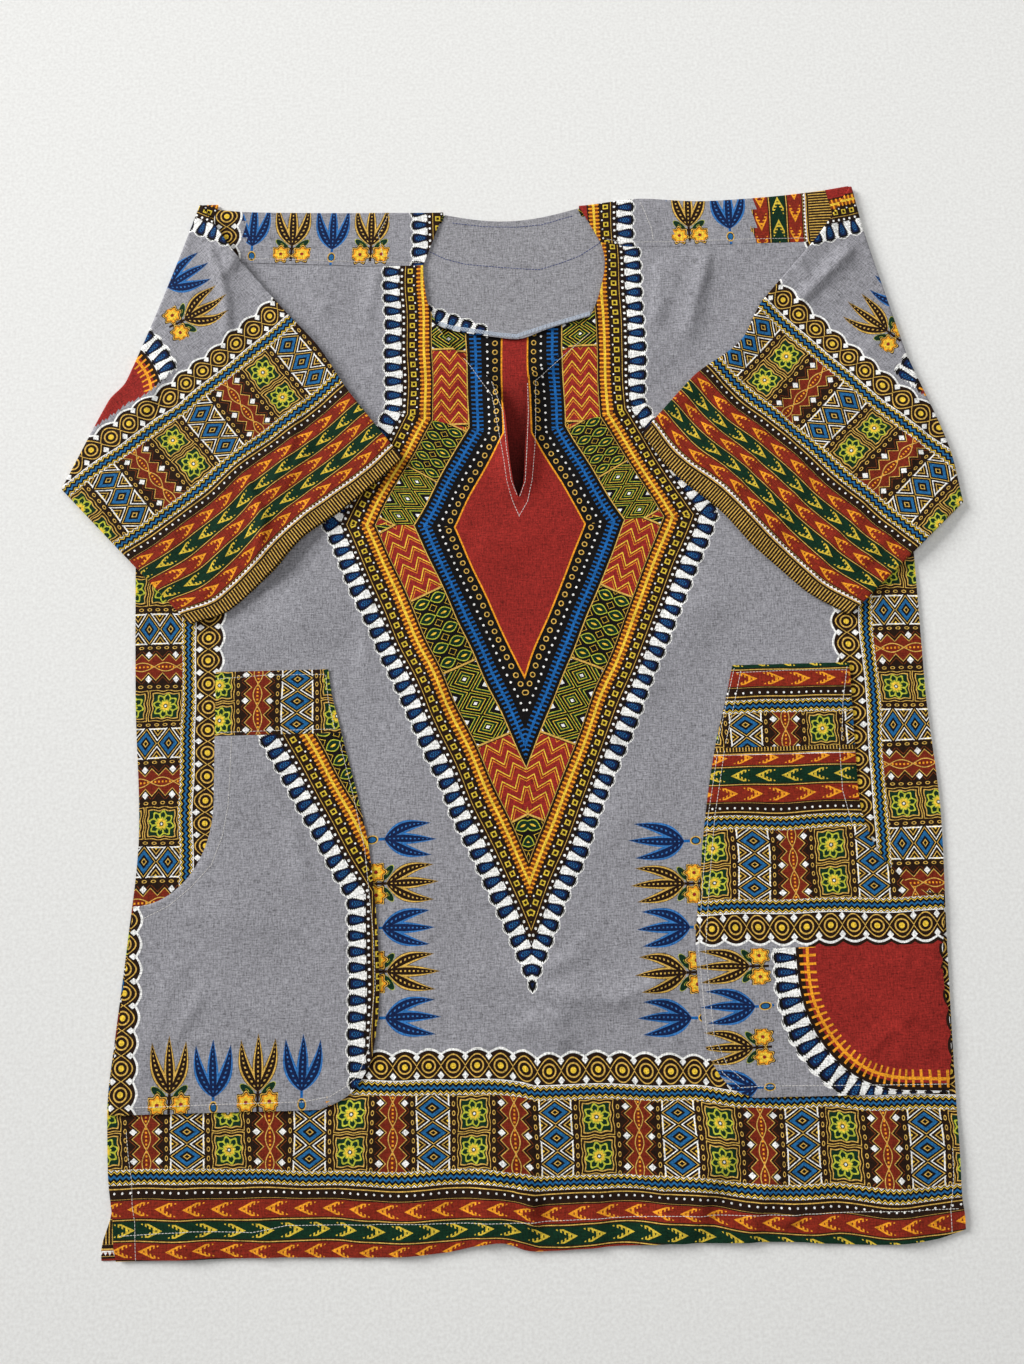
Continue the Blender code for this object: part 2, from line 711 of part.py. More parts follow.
def fold_over(line, sleeve, point, height, follow):
    """Carries a point of the flat sleeve round the diagonal fold, and eases the folded edge."""
    along, out = line.measure(point)
    radius = SLEEVE_TURN - height
    if out <= 0:
        shift, z = out, height
    elif out < SLEEVE_TURN_LENGTH:
        angle = math.pi * out / SLEEVE_TURN_LENGTH
        shift, z = radius * math.sin(angle), SLEEVE_TURN - radius * math.cos(angle)
    else:
        shift, z = SLEEVE_TURN_LENGTH - out, SLEEVE_TURN + radius
    ease = read(sleeve.fold_ease, "part", "out", along / line.length) * follow
    x, y = line.place(along, shift + ease)
    return x, y, z


def make_sleeve(name, colour, sleeve):
    """A tube sleeve, flattened, folded over along its diagonal, open at armhole and cuff."""
    line = FoldLine(sleeve)
    stations = sleeve_stations(sleeve, line)
    centre = mix_points(sleeve.fold_top, sleeve.fold_under, 0.5)
    points = {}
    for s, station in enumerate(stations):
        for k, (x, y, height, away, across) in enumerate(sleeve_loop(station, sleeve, centre)):
            corners = []
            for sign in (-1, 1):
                reach = sign * WALL / 2
                flat = (x + away[0] * reach, y + away[1] * reach)
                px, py, pz = fold_over(line, sleeve, flat, height + away[2] * reach, station.follow)
                out = line.measure(flat)[1]
                grow = smooth_step((out - SLEEVE_TURN_LENGTH) / RIPPLE_START)
                pz += grow * sum(ridge(px, py, ripple) for ripple in sleeve.ripples)
                if out > SLEEVE_TURN_LENGTH and height < LAYER:
                    pz += CUFF_LIFT * station.part**4 * math.sin(math.pi * across)
                corners.append((px, py, pz))
            points[s, k] = tuple(corners)
    around = len(points) // len(stations)
    cells = [
        ((s, k), (s + 1, k), (s + 1, (k + 1) % around), (s, (k + 1) % around))
        for s in range(len(stations) - 1)
        for k in range(around)
    ]
    return cloth(name, colour, points, cells)


# --- The shirt ------------------------------------------------------------------------------------


def centre_on_floor(pieces):
    """Moves every mesh so that the origin is under the middle of the bounding box, on the floor."""
    corners = [vert.co for piece in pieces for vert in piece.data.vertices]
    low = [min(c[i] for c in corners) for i in range(3)]
    high = [max(c[i] for c in corners) for i in range(3)]
    for piece in pieces:
        for vert in piece.data.vertices:
            vert.co.x -= (low[0] + high[0]) / 2
            vert.co.y -= (low[1] + high[1]) / 2
            vert.co.z -= low[2]


def make_shirt():
    for old in list(bpy.data.objects):
        bpy.data.objects.remove(old, do_unlink=True)
    make_back()
    make_front()
    make_facing()
    make_pocket(POCKET_LEFT, GREY, GOLD)
    make_pocket(POCKET_RIGHT, GOLD, BRICK)
    make_sleeve("sleeve_left", GOLD, SLEEVE_LEFT)
    make_sleeve("sleeve_right", BRICK, SLEEVE_RIGHT)
    centre_on_floor([piece for piece in bpy.data.objects if piece.type == "MESH"])


make_shirt()
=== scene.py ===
"""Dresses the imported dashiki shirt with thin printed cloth, stitching, a floor, light and a camera.

Lengths are millimetres unless something else is said, measured from the hem and from the middle of
the front, with X to the right as seen with the neck at the top. Left and right are meant in that view.
"""

import json
import math
import random
from collections import namedtuple

import bpy
from mathutils import Vector, noise
from mathutils.bvhtree import BVHTree
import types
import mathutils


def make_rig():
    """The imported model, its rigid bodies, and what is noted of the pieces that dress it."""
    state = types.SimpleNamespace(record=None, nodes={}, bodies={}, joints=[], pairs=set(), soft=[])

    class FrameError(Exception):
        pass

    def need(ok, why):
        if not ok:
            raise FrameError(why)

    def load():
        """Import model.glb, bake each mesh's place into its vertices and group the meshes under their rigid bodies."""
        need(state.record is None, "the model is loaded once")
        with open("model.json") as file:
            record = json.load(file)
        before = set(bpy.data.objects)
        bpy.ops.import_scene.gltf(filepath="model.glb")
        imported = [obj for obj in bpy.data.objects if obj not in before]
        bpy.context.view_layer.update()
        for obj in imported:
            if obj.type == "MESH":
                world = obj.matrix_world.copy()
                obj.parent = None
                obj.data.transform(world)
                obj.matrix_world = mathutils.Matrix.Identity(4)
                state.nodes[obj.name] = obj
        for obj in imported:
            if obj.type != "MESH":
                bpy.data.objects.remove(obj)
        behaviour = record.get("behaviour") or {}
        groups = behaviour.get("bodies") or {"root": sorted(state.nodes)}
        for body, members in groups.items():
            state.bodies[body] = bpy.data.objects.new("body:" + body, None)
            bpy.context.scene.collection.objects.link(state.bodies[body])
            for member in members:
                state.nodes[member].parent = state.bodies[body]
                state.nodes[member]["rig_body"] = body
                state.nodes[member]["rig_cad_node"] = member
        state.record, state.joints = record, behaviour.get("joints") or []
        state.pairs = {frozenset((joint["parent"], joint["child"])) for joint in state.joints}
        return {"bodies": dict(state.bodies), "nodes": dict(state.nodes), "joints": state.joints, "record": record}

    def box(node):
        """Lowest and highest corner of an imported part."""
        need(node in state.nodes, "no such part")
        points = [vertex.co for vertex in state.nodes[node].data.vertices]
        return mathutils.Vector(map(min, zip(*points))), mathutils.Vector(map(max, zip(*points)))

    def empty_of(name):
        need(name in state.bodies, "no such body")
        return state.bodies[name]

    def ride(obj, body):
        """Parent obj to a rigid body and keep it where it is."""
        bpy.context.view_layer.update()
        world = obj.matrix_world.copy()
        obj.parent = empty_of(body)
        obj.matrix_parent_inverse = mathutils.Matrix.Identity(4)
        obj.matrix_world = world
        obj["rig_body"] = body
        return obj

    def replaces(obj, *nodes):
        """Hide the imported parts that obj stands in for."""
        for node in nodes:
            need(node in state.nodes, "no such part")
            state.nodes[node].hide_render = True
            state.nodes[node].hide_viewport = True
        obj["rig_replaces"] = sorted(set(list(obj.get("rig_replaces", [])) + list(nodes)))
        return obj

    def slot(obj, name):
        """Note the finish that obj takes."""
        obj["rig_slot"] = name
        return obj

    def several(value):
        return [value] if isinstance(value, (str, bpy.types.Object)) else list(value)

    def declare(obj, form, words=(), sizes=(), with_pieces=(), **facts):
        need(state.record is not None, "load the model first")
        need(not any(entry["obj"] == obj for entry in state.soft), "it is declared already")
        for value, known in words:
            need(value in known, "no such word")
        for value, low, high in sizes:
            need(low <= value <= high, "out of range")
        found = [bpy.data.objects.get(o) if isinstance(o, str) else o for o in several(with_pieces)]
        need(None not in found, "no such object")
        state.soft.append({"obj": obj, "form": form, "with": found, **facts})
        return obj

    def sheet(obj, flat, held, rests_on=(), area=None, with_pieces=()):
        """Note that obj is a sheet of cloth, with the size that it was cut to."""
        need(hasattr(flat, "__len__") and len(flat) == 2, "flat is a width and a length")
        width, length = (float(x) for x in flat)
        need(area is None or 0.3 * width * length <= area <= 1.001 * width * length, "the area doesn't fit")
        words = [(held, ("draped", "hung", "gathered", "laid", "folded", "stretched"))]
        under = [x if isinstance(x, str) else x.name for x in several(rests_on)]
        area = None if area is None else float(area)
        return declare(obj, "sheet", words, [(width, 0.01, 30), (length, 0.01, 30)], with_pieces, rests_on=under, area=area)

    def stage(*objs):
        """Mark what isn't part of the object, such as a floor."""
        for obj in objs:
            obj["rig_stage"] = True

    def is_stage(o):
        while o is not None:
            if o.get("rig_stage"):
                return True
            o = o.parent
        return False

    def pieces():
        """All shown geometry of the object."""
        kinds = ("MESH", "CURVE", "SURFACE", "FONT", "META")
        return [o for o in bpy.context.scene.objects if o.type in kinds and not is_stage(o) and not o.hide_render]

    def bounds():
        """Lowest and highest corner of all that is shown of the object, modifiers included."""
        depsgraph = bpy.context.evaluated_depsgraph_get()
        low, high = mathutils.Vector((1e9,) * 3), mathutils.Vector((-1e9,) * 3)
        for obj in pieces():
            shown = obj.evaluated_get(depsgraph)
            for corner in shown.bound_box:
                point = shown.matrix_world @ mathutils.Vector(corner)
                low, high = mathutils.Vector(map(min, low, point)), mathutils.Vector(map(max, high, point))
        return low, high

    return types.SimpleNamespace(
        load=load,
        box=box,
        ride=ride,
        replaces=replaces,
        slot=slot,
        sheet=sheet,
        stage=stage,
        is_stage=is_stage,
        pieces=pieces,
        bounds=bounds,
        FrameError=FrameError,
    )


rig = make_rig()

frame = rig.load()
CAD_BOX = [list(corner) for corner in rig.bounds()]
SIZE_FILE = "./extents.json"
MM = 0.001

# --- The cloth and its layers, as in the solids ---------------------------------------------------

WALL = 1.0
SHELL = 0.5  # the shown cloth is this thick, with its outer face on the solid's
GAP = 0.3
LAYER = WALL + GAP
FRONT_LAYER = LAYER
POCKET_LAYER = 2 * LAYER
SLEEVE_TURN = 2 * LAYER - GAP / 2
SLEEVE_TURN_LENGTH = math.pi * LAYER
TURN_STEPS = 8

# In all these tables the first column is where a row is read, and the others are what stands there.
SIDES = {"left": 1, "right": 2}  # the columns of a table that has one for each side
UNDERARM = 569.0
FRONT_SIDES = (
    (0, -302, 301), (12, -304, 301), (28, -305, 300), (58, -309, 301), (105, -311, 302), (150, -307, 303),
    (215, -300, 305), (300, -293, 308), (400, -298, 304), (UNDERARM, -302, 304),
)
ARMHOLE_TOP = 806.0
ARMHOLE_LEFT_TOP = -241.0
ARMHOLE_RIGHT_TOP = 256.0
BACK_CORNER_OUT = 11.0
BACK_CORNER_HEIGHT = 40.0
HEM = (
    (-302, 0), (-200, 0), (-110, -2), (-70, 0), (-30, 6), (-4, -1), (77, 2), (169, 1), (240, -3),
    (279, 0), (302, 6),
)
HEM_FADE = 60.0
SHOULDER_FOLD = (
    (-262, 806), (-215, 800), (-133, 797), (-57, 795), (54, 798), (104, 803), (154, 800), (203, 802),
    (276, 809),
)
SHOULDER_SEAM = (
    (-262, 758), (-74, 748), (73, 764), (93, 760), (262, 762),
)

SLIT_TIP = 552.0
SLIT_TIP_ACROSS = -2.0
SLIT_TOP = 645.0
NECK_EDGES = (
    (SLIT_TIP, SLIT_TIP_ACROSS, SLIT_TIP_ACROSS), (564, -6, 2), (590, -9, 4), (620, -11, 6),
    (SLIT_TOP, -20, 6), (672, -47, 38), (700, -65, 59), (722, -72, 68), (748, -74, 73), (770, -68, 69),
)
STRIP_NECK_LEFT = -57.0
STRIP_NECK_RIGHT = 54.0
BACK_NECK_DIP = 8.0
FACING_LEFT = -84.0
FACING_RIGHT = 84.0
FACING_LOWER = (
    (FACING_LEFT, 702), (-53, 693), (-16, 686), (0, 684), (25, 692), (60, 702), (FACING_RIGHT, 707),
)
FACING_TOP_TAPER = 16.0
FACING_UNDER_FOLD = 8.0

POCKET_BOTTOM = 99.0
POCKET_LEFT_INNER = (
    (POCKET_BOTTOM, -158), (104, -144), (113, -132), (137, -119), (186, -114), (221, -115), (284, -121),
    (322, -129), (370, -141), (404, -149), (419, -151),
)
POCKET_RIGHT_INNER = (
    (POCKET_BOTTOM, 156), (104, 143), (115, 132), (139, 122), (203, 119), (249, 124), (301, 131),
    (352, 141), (388, 151), (416, 158),
)
Pocket = namedtuple("Pocket", "side inner band_low band_high mouth_low mouth_radius mouth_edge")
POCKET_LEFT = Pocket("left", POCKET_LEFT_INNER, 371.0, 420.0, 246.0, 76.0, -237.0)
POCKET_RIGHT = Pocket("right", POCKET_RIGHT_INNER, 352.0, 415.0, 240.0, 80.0, 247.0)
POCKET_SIDE_CLEAR = 1.5
# The right pocket's outer edge is drawn in by this much.
POCKET_RIGHT_INSET = (
    (99, 3.6), (112, 2.2), (128, 0.0), (150, 0.0), (170, 2.6), (186, 3.2), (200, 2.4), (222, 0.0),
)
POCKET_MARGIN = 10.0
POCKET_MARGIN_FADE = 25.0

# The eases are how far a sleeve's edges bow out, at each part of their length.
Sleeve = namedtuple("Sleeve", "armhole_top armhole_under fold_top fold_under cuff_top cuff_under"
                    " top_ease cuff_ease fold_ease ripples")
SLEEVE_LEFT = Sleeve(
    armhole_top=(ARMHOLE_LEFT_TOP, ARMHOLE_TOP),
    armhole_under=(-302.0, UNDERARM),
    fold_top=(-253.0, 806.0),
    fold_under=(-357.0, 569.0),
    cuff_top=(-93.0, 585.0),
    cuff_under=(-256.0, 458.0),
    top_ease=((0, 0), (0.2, -4), (0.4, -2), (0.58, 2), (0.75, -1), (1, 0)),
    cuff_ease=((0, 0), (0.3, 2), (0.45, 0), (0.65, 7), (0.85, 10), (1, 0)),
    fold_ease=((0, 0), (0.25, -5), (0.47, -8), (0.62, -9), (0.7, -3), (1, 0)),
    ripples=(
        (-233, 770, -222, 690, 9, 1.6), (-230, 530, -170, 512, 14, 1.8), (-205, 500, -196, 560, 12, 1.2),
        (-300, 560, -262, 500, 12, 1.5),
    ),
)
SLEEVE_RIGHT = Sleeve(
    armhole_top=(ARMHOLE_RIGHT_TOP, ARMHOLE_TOP),
    armhole_under=(304.0, UNDERARM),
    fold_top=(275.0, 809.0),
    fold_under=(343.0, 541.0),
    cuff_top=(97.0, 600.0),
    cuff_under=(249.0, 452.0),
    top_ease=((0, 0), (0.2, -7), (0.45, -6), (0.59, -13), (0.78, -2), (1, 0)),
    cuff_ease=((0, 0), (0.2, 6), (0.4, 4), (0.6, 8), (0.8, 8), (1, 0)),
    fold_ease=(
        (0, 0), (0.17, -3), (0.33, -3.4), (0.52, -3.5), (0.65, -0.5), (0.75, 2.5), (0.85, 4), (1, 0),
    ),
    ripples=((284, 760, 226, 708, 9, 1.6), (200, 560, 250, 500, 14, 1.8), (150, 600, 190, 530, 14, 1.6)),
)

# Soft creases along straight lines: x and y of both ends, the width and the height.
FRONT_CREASES = (
    (72, -5, 130, 66, 14, 3.0), (128, -5, 168, 50, 13, 2.0), (-30, -5, -26, 60, 15, 3.0),
    (-96, -5, -84, 40, 16, 1.5), (262, -5, 248, 60, 15, 2.0), (-250, -5, -256, 50, 16, 1.4),
    (20, 168, 96, 176, 12, 1.8), (-40, 186, 28, 178, 13, 1.2), (-70, 520, -62, 420, 20, 1.5),
    (150, 470, 92, 420, 18, 1.5), (-176, 462, -120, 424, 14, 1.4), (136, 742, 134, 690, 12, 1.6),
    (-150, 742, -128, 690, 16, 1.2),
)
LIFT_HALF_WIDTH = 100.0
LIFT_LOWEST = 670.0
LIFT_FADE = 35.0

# --- How finely each piece is made ----------------------------------------------------------------

FRONT_COLUMNS = 88
HEM_FINE_HEIGHT = 26.0
HEM_FINE_STEP = 2.0
ROW_STEP = 3.6
BACK_SIDE_COLUMNS = 40
BACK_NECK_COLUMNS = 18
BACK_ROW_STEP = 7.0
STRIP_STEPS = 12
STRIP_GROWTH = 3  # a strip's finer creases are full after one part in this many of its length
POCKET_COLUMNS = 64
POCKET_STEP = 3.0
MOUTH_STEPS = 20
FACING_COLUMNS = 44
FACING_ROWS = 26
SLEEVE_INNER_STEPS = 10
SLEEVE_OUTER_STEPS = 88
SLEEVE_ACROSS_STEPS = 92
SLEEVE_ROUND_STEPS = 6
SHARP_ANGLE = 50.0

# --- Creases that only the shown cloth has --------------------------------------------------------

FINE_CREASES = (
    (-6, 192, 34, 200, 5, 0.7), (18, 196, 40, 214, 4, 0.5), (4, 176, 60, 170, 5, 0.8),
    (60, 170, 96, 186, 5, 0.6), (-22, 168, 10, 160, 5, 0.6), (118, 742, 112, 700, 5, 0.8),
    (150, 736, 146, 690, 6, 0.7), (130, 716, 158, 690, 5, 0.6), (-112, 740, -104, 700, 5, 0.6),
    (-168, 738, -150, 704, 6, 0.6), (-122, 520, -124, 430, 3.5, 0.55), (-124, 430, -121, 300, 3.5, 0.35),
    (-200, 436, -150, 434, 5, 0.5), (80, 462, 130, 458, 5, 0.6), (-28, 520, 0, 512, 5, 0.9),
    (-34, 508, -8, 500, 5, 0.7), (-2, 536, 14, 520, 5, 0.6), (60, 500, 96, 470, 8, 0.7),
    (-90, 470, -60, 440, 8, 0.7), (-104, 408, -60, 400, 9, 0.5), (96, 402, 60, 360, 9, 0.6),
    (-96, 330, -66, 300, 10, 0.5), (90, 330, 60, 290, 10, 0.5), (-60, 640, -92, 620, 9, 0.6),
    (60, 640, 88, 612, 9, 0.6), (100, 2, 122, 40, 6, 0.9), (146, 0, 160, 34, 5, 0.7),
    (-42, 0, -40, 40, 6, 0.8), (-14, 0, -8, 46, 6, 0.8), (36, 0, 42, 36, 7, 0.6),
    (196, 0, 200, 44, 8, 0.6), (-130, 0, -134, 38, 8, 0.5), (-196, 0, -200, 34, 8, 0.5),
    (-226, 108, -120, 90, 8, 0.5), (120, 90, 226, 100, 8, 0.5),
)
POCKET_CREASES = (
    (-250, 240, -180, 226, 9, 0.6), (-230, 180, -170, 160, 10, 0.5), (-200, 340, -178, 300, 7, 0.5),
    (-280, 150, -262, 200, 8, 0.5), (-205, 400, -170, 398, 6, 0.4), (150, 246, 214, 238, 8, 0.6),
    (160, 180, 196, 150, 9, 0.5), (236, 168, 284, 152, 9, 0.7), (250, 190, 290, 184, 8, 0.5),
    (170, 334, 226, 330, 7, 0.5), (180, 396, 226, 392, 6, 0.4), (206, 120, 262, 124, 8, 0.6),
)
SLEEVE_CREASES = (
    (-262, 720, -240, 690, 6, 0.5), (-286, 680, -262, 640, 6, 0.6), (-320, 620, -286, 596, 6, 0.7),
    (-330, 590, -300, 570, 6, 0.6), (-206, 652, -180, 600, 7, 0.6), (-160, 620, -140, 570, 6, 0.6),
    (-186, 548, -150, 540, 5, 0.9), (-214, 516, -186, 510, 5, 0.9), (-172, 530, -160, 560, 5, 0.7),
    (-236, 560, -210, 600, 7, 0.6), (-128, 590, -118, 560, 5, 0.6), (-248, 480, -228, 520, 5, 0.8),
    (-276, 520, -250, 560, 6, 0.6), (300, 700, 276, 660, 6, 0.6), (322, 640, 300, 610, 6, 0.6),
    (330, 580, 300, 560, 6, 0.7), (312, 540, 286, 560, 6, 0.7), (212, 650, 190, 600, 7, 0.6),
    (170, 640, 150, 600, 6, 0.6), (120, 596, 132, 570, 5, 0.8), (168, 556, 184, 580, 5, 0.9),
    (196, 520, 214, 548, 5, 0.8), (226, 486, 244, 516, 5, 0.9), (256, 520, 272, 556, 6, 0.6),
    (244, 590, 262, 630, 7, 0.6),
)
# Sharp creases: the height, the width of the sharp side, and the line, from its lower end upwards.
SLEEVE_BENDS = (
    (2.2, 2.2, (-229, 690), (-229.6, 701), (-231, 722), (-234.1, 738), (-241.6, 758), (-246.6, 770)),
    (1.5, 2.0, (-234, 740), (-228, 747), (-220, 758)),
    (1.8, 2.2, (226, 705), (238.2, 716.8), (256.4, 734.5), (279.9, 756.4)),
    (1.2, 2.0, (237, 727), (228.7, 743.9)), (0.9, 2.4, (262, 710), (249, 717)),
    (0.9, 3.0, (-300, 622), (-283, 652), (-270, 672)), (1.0, 3.0, (-196, 560), (-178, 600), (-172, 640)),
    (0.9, 3.0, (226, 560), (208, 600), (206, 640)), (1.0, 3.0, (300, 560), (318, 600), (316, 640)),
    (1.8, 2.6, (-202, 514), (-199, 540), (-205, 552), (-216, 577)), (1.0, 3.0, (-188, 560), (-160, 606)),
    (1.0, 2.6, (-196, 490), (-184, 508)), (1.0, 3.0, (-318, 548), (-340, 578)),
    (1.3, 3.0, (192, 600), (166, 622), (150, 650)), (1.3, 3.0, (172, 548), (150, 586), (122, 610)),
    (1.0, 3.0, (186, 520), (158, 556), (130, 592)), (1.0, 3.0, (258, 488), (292, 518)),
)
FRONT_BENDS = (
    (1.5, 3.0, (147, 712), (147.1, 718.3), (152.7, 732), (157.9, 753.5)),
    (1.1, 3.0, (138.9, 668), (142, 700), (143.7, 715)), (1.2, 2.8, (139, 662), (163, 685)),
    (1.9, 3.0, (135, 641), (137.9, 647.2), (149.2, 664.6)), (0.9, 3.2, (-166, 697), (-149.4, 718.4)),
    (0.8, 3.2, (-118, 700), (-112, 742)),
    (1.8, 3.0, (24, 139), (12.1, 147.9), (0.6, 153.8), (-13.9, 156.3)),
    (1.2, 3.0, (24, 157.5), (-6, 163)), (1.1, 3.0, (31, 141), (8, 157.1)),
    (0.9, 3.0, (-37, 136), (-62, 145.5)), (1.0, 3.0, (110, 127), (94.9, 143)),
    (1.8, 2.8, (-1, 30), (-17, 44.5)), (1.5, 2.8, (-3, 14), (-8, 36.5)), (2.0, 2.8, (92, 38), (66, 52.5)),
    (1.6, 2.6, (170, 12.5), (184.5, 19)), (1.0, 3.0, (118, 8), (114, 34)),
    (0.9, 3.0, (-118, 10), (-126, 34)), (1.6, 7.0, (160, 668), (186, 705), (216, 744)),
    (1.0, 5.0, (112, 690), (126, 728), (124, 748)),
)
POCKET_BENDS = (
    (1.7, 3.0, (289, 128), (264, 146)), (1.0, 3.4, (236, 126), (275, 155)),
    (0.8, 3.4, (-262, 150), (-240, 186)), (0.8, 3.4, (-166, 260), (-176, 300)),
)
BEND_SLOPE = 7.5
BEND_ENDS = 0.3
BEND_FADE = 4.0
BEND_GAIN = 1.5
CREASE_GAIN = 1.7

RUMPLE_HEIGHT = 0.9
RUMPLE_SIZE = 50.0
RUMPLE_STRETCH = 1.5
RUMPLE_FINE_HEIGHT = 0.22
RUMPLE_FINE_SIZE = 15.0
RUMPLE_LEVEL, RUMPLE_FINE_LEVEL = 0.5, 0.7
RUMPLE_FINE_OFF = 7.0
FRONT_RUMPLE, POCKET_RUMPLE, SLEEVE_RUMPLE = 0.0, 3.0, 5.0  # where each is cut out of the noise

# The print is pulled out of line by so much, over such lengths.
WANDER = 1.9
WANDER_SIZE = 42.0
WANDER_SECOND = 40.0

SLEEVE_COVER_FADE = 26.0
SLEEVE_COVER_START = 0.3
SLIT_LIFT = 6.5
SLIT_LIFT_WIDTH = 9.0
SLIT_LIFT_LENGTH = 34.0
NECK_LIFT = 0.7
NECK_LIFT_START = 640.0
HEM_TURN = 18.0
HEM_TURN_HEIGHT = 0.22
HEM_DROOP = 0.5
HEM_DROOP_LENGTH = 9.0
STITCH_SINK = 0.16
STITCH_SINK_WIDTH = 1.6
POCKET_DROOP = 0.6
POCKET_DROOP_LENGTH = 5.0
EDGE_LIFT = 2.6
EDGE_LIFT_WIDTH = 15.0
UNDERARM_LIFT = 0.4  # as a part of the top edge's
CUFF_LIFT = 2.0
RIPPLE_START = 25.0

# --- Arithmetic -----------------------------------------------------------------------------------


def smooth_step(x):
    x = min(max(x, 0.0), 1.0)
    return x * x * (3 - 2 * x)


def mix(a, b, part):
    return a + (b - a) * part


def mix_points(p, q, part):
    return mix(p[0], q[0], part), mix(p[1], q[1], part)


def read(table, at, column=1):
    """A table's column at a place in its first one, on a smooth curve through its rows."""
    keys = [row[0] for row in table]
    values = [row[column] for row in table]
    if at <= keys[0]:
        return values[0]
    if at >= keys[-1]:
        return values[-1]
    n = next(i for i in range(1, len(keys)) if at <= keys[i])
    slopes = [(values[i + 1] - values[i]) / (keys[i + 1] - keys[i]) for i in range(len(keys) - 1)]

    def tangent(i):
        if i in (0, len(keys) - 1):
            return slopes[max(i - 1, 0)]
        before, after = slopes[i - 1], slopes[i]
        if before * after <= 0:
            return 0.0
        return 2 * before * after / (before + after)

    span = keys[n] - keys[n - 1]
    t = (at - keys[n - 1]) / span
    rise = values[n] - values[n - 1]
    start, end = tangent(n - 1) * span, tangent(n) * span
    return values[n - 1] + t * start + t * t * (3 * rise - 2 * start - end) + t**3 * (start + end - 2 * rise)


def levels(low, high, step):
    count = max(1, round((high - low) / step))
    return [mix(low, high, i / count) for i in range(count + 1)]


def ridge(x, y, x0, y0, x1, y1, width, height):
    """A soft crease along a straight line."""
    dx, dy = x1 - x0, y1 - y0
    part = min(max(((x - x0) * dx + (y - y0) * dy) / (dx * dx + dy * dy), 0.0), 1.0)
    off = math.hypot(x - x0 - part * dx, y - y0 - part * dy)
    return height * math.exp(-((off / width) ** 2)) if off <= 3 * width else 0.0


def ridges(x, y, table):
    return sum(ridge(x, y, *row) for row in table)


def bent_ridge(x, y, height, sharp, *points):
    """A crease along a bent line: it rises slowly on its left and falls sharply on its right."""
    nearest, at, side, start = 1e9, 0.0, 1.0, 0.0
    for (x0, y0), (x1, y1) in zip(points, points[1:]):
        dx, dy = x1 - x0, y1 - y0
        length = math.hypot(dx, dy)
        part = min(max(((x - x0) * dx + (y - y0) * dy) / length**2, 0.0), 1.0)
        off = math.hypot(x - x0 - part * dx, y - y0 - part * dy)
        if off < nearest:
            side = dx * (y - y0) - dy * (x - x0)
            nearest, at = off, start + part * length
        start += length
    width = sharp if side < 0 else BEND_SLOPE
    if nearest > 3 * width:
        return 0.0
    run = at / start
    fade = smooth_step(BEND_FADE * run + BEND_ENDS) * smooth_step(BEND_FADE * (1 - run) + BEND_ENDS)
    return BEND_GAIN * height * fade * math.exp(-((nearest / width) ** 2))


def bent_ridges(x, y, table):
    return sum(bent_ridge(x, y, *row) for row in table)


def direction(p, q):
    """The distance from p to q and the direction, as x and y of a unit length."""
    dx, dy = q[0] - p[0], q[1] - p[1]
    length = math.hypot(dx, dy)
    return length, dx / length, dy / length


def beyond(p, q, x, y):
    """How far a point lies to the left of the line from p to q."""
    dx, dy = q[0] - p[0], q[1] - p[1]
    return (dx * (y - p[1]) - dy * (x - p[0])) / math.hypot(dx, dy)


# --- The shape that the layers share --------------------------------------------------------------


def side_edge(side, up):
    if up <= UNDERARM:
        return read(FRONT_SIDES, up, SIDES[side])
    top = ARMHOLE_LEFT_TOP if side == "left" else ARMHOLE_RIGHT_TOP
    return mix(side_edge(side, UNDERARM), top, (up - UNDERARM) / (ARMHOLE_TOP - UNDERARM))


def neck_edge(side, up):
    return read(NECK_EDGES, up, SIDES[side])


def pocket_cover(x, y):
    pocket = POCKET_LEFT if x < 0 else POCKET_RIGHT
    beside = abs(read(pocket.inner, y)) - abs(x) - POCKET_MARGIN
    above = max(POCKET_BOTTOM - y, y - pocket.band_high) - POCKET_MARGIN
    return (1 - smooth_step(beside / POCKET_MARGIN_FADE)) * (1 - smooth_step(above / POCKET_MARGIN_FADE))


def facing_lift(x, y):
    beside = (abs(x) - LIFT_HALF_WIDTH) / LIFT_FADE
    below = (LIFT_LOWEST - y) / LIFT_FADE
    return LAYER * (1 - smooth_step(beside)) * (1 - smooth_step(below))


def sleeve_cover(x, y):
    """1 where a folded sleeve lies on the front, falling to 0 around it."""
    sleeve, turn = (SLEEVE_LEFT, 1) if x < 0 else (SLEEVE_RIGHT, -1)
    inner = beyond(sleeve.fold_top, sleeve.cuff_top, x, y) * turn
    lower = beyond(sleeve.cuff_top, sleeve.cuff_under, x, y) * turn
    return 1 - smooth_step(max(inner, lower) / SLEEVE_COVER_FADE - SLEEVE_COVER_START)


def rumple(x, y, seed):
    """Soft unevenness of cloth that has been pressed and carried, which hardly sinks below 0."""
    broad = noise.noise(Vector((x / RUMPLE_SIZE, y / (RUMPLE_SIZE * RUMPLE_STRETCH), seed)))
    fine = noise.noise(Vector((x / RUMPLE_FINE_SIZE, y / RUMPLE_FINE_SIZE, seed + RUMPLE_FINE_OFF)))
    broad, fine = RUMPLE_HEIGHT * (RUMPLE_LEVEL + broad), RUMPLE_FINE_HEIGHT * (RUMPLE_FINE_LEVEL + fine)
    return max(0.0, broad) + fine


def relief(x, y):
    """The height of the solids' creases and lifts above the front's flat layer."""
    return facing_lift(x, y) + ridges(x, y, FRONT_CREASES) * (1 - pocket_cover(x, y))


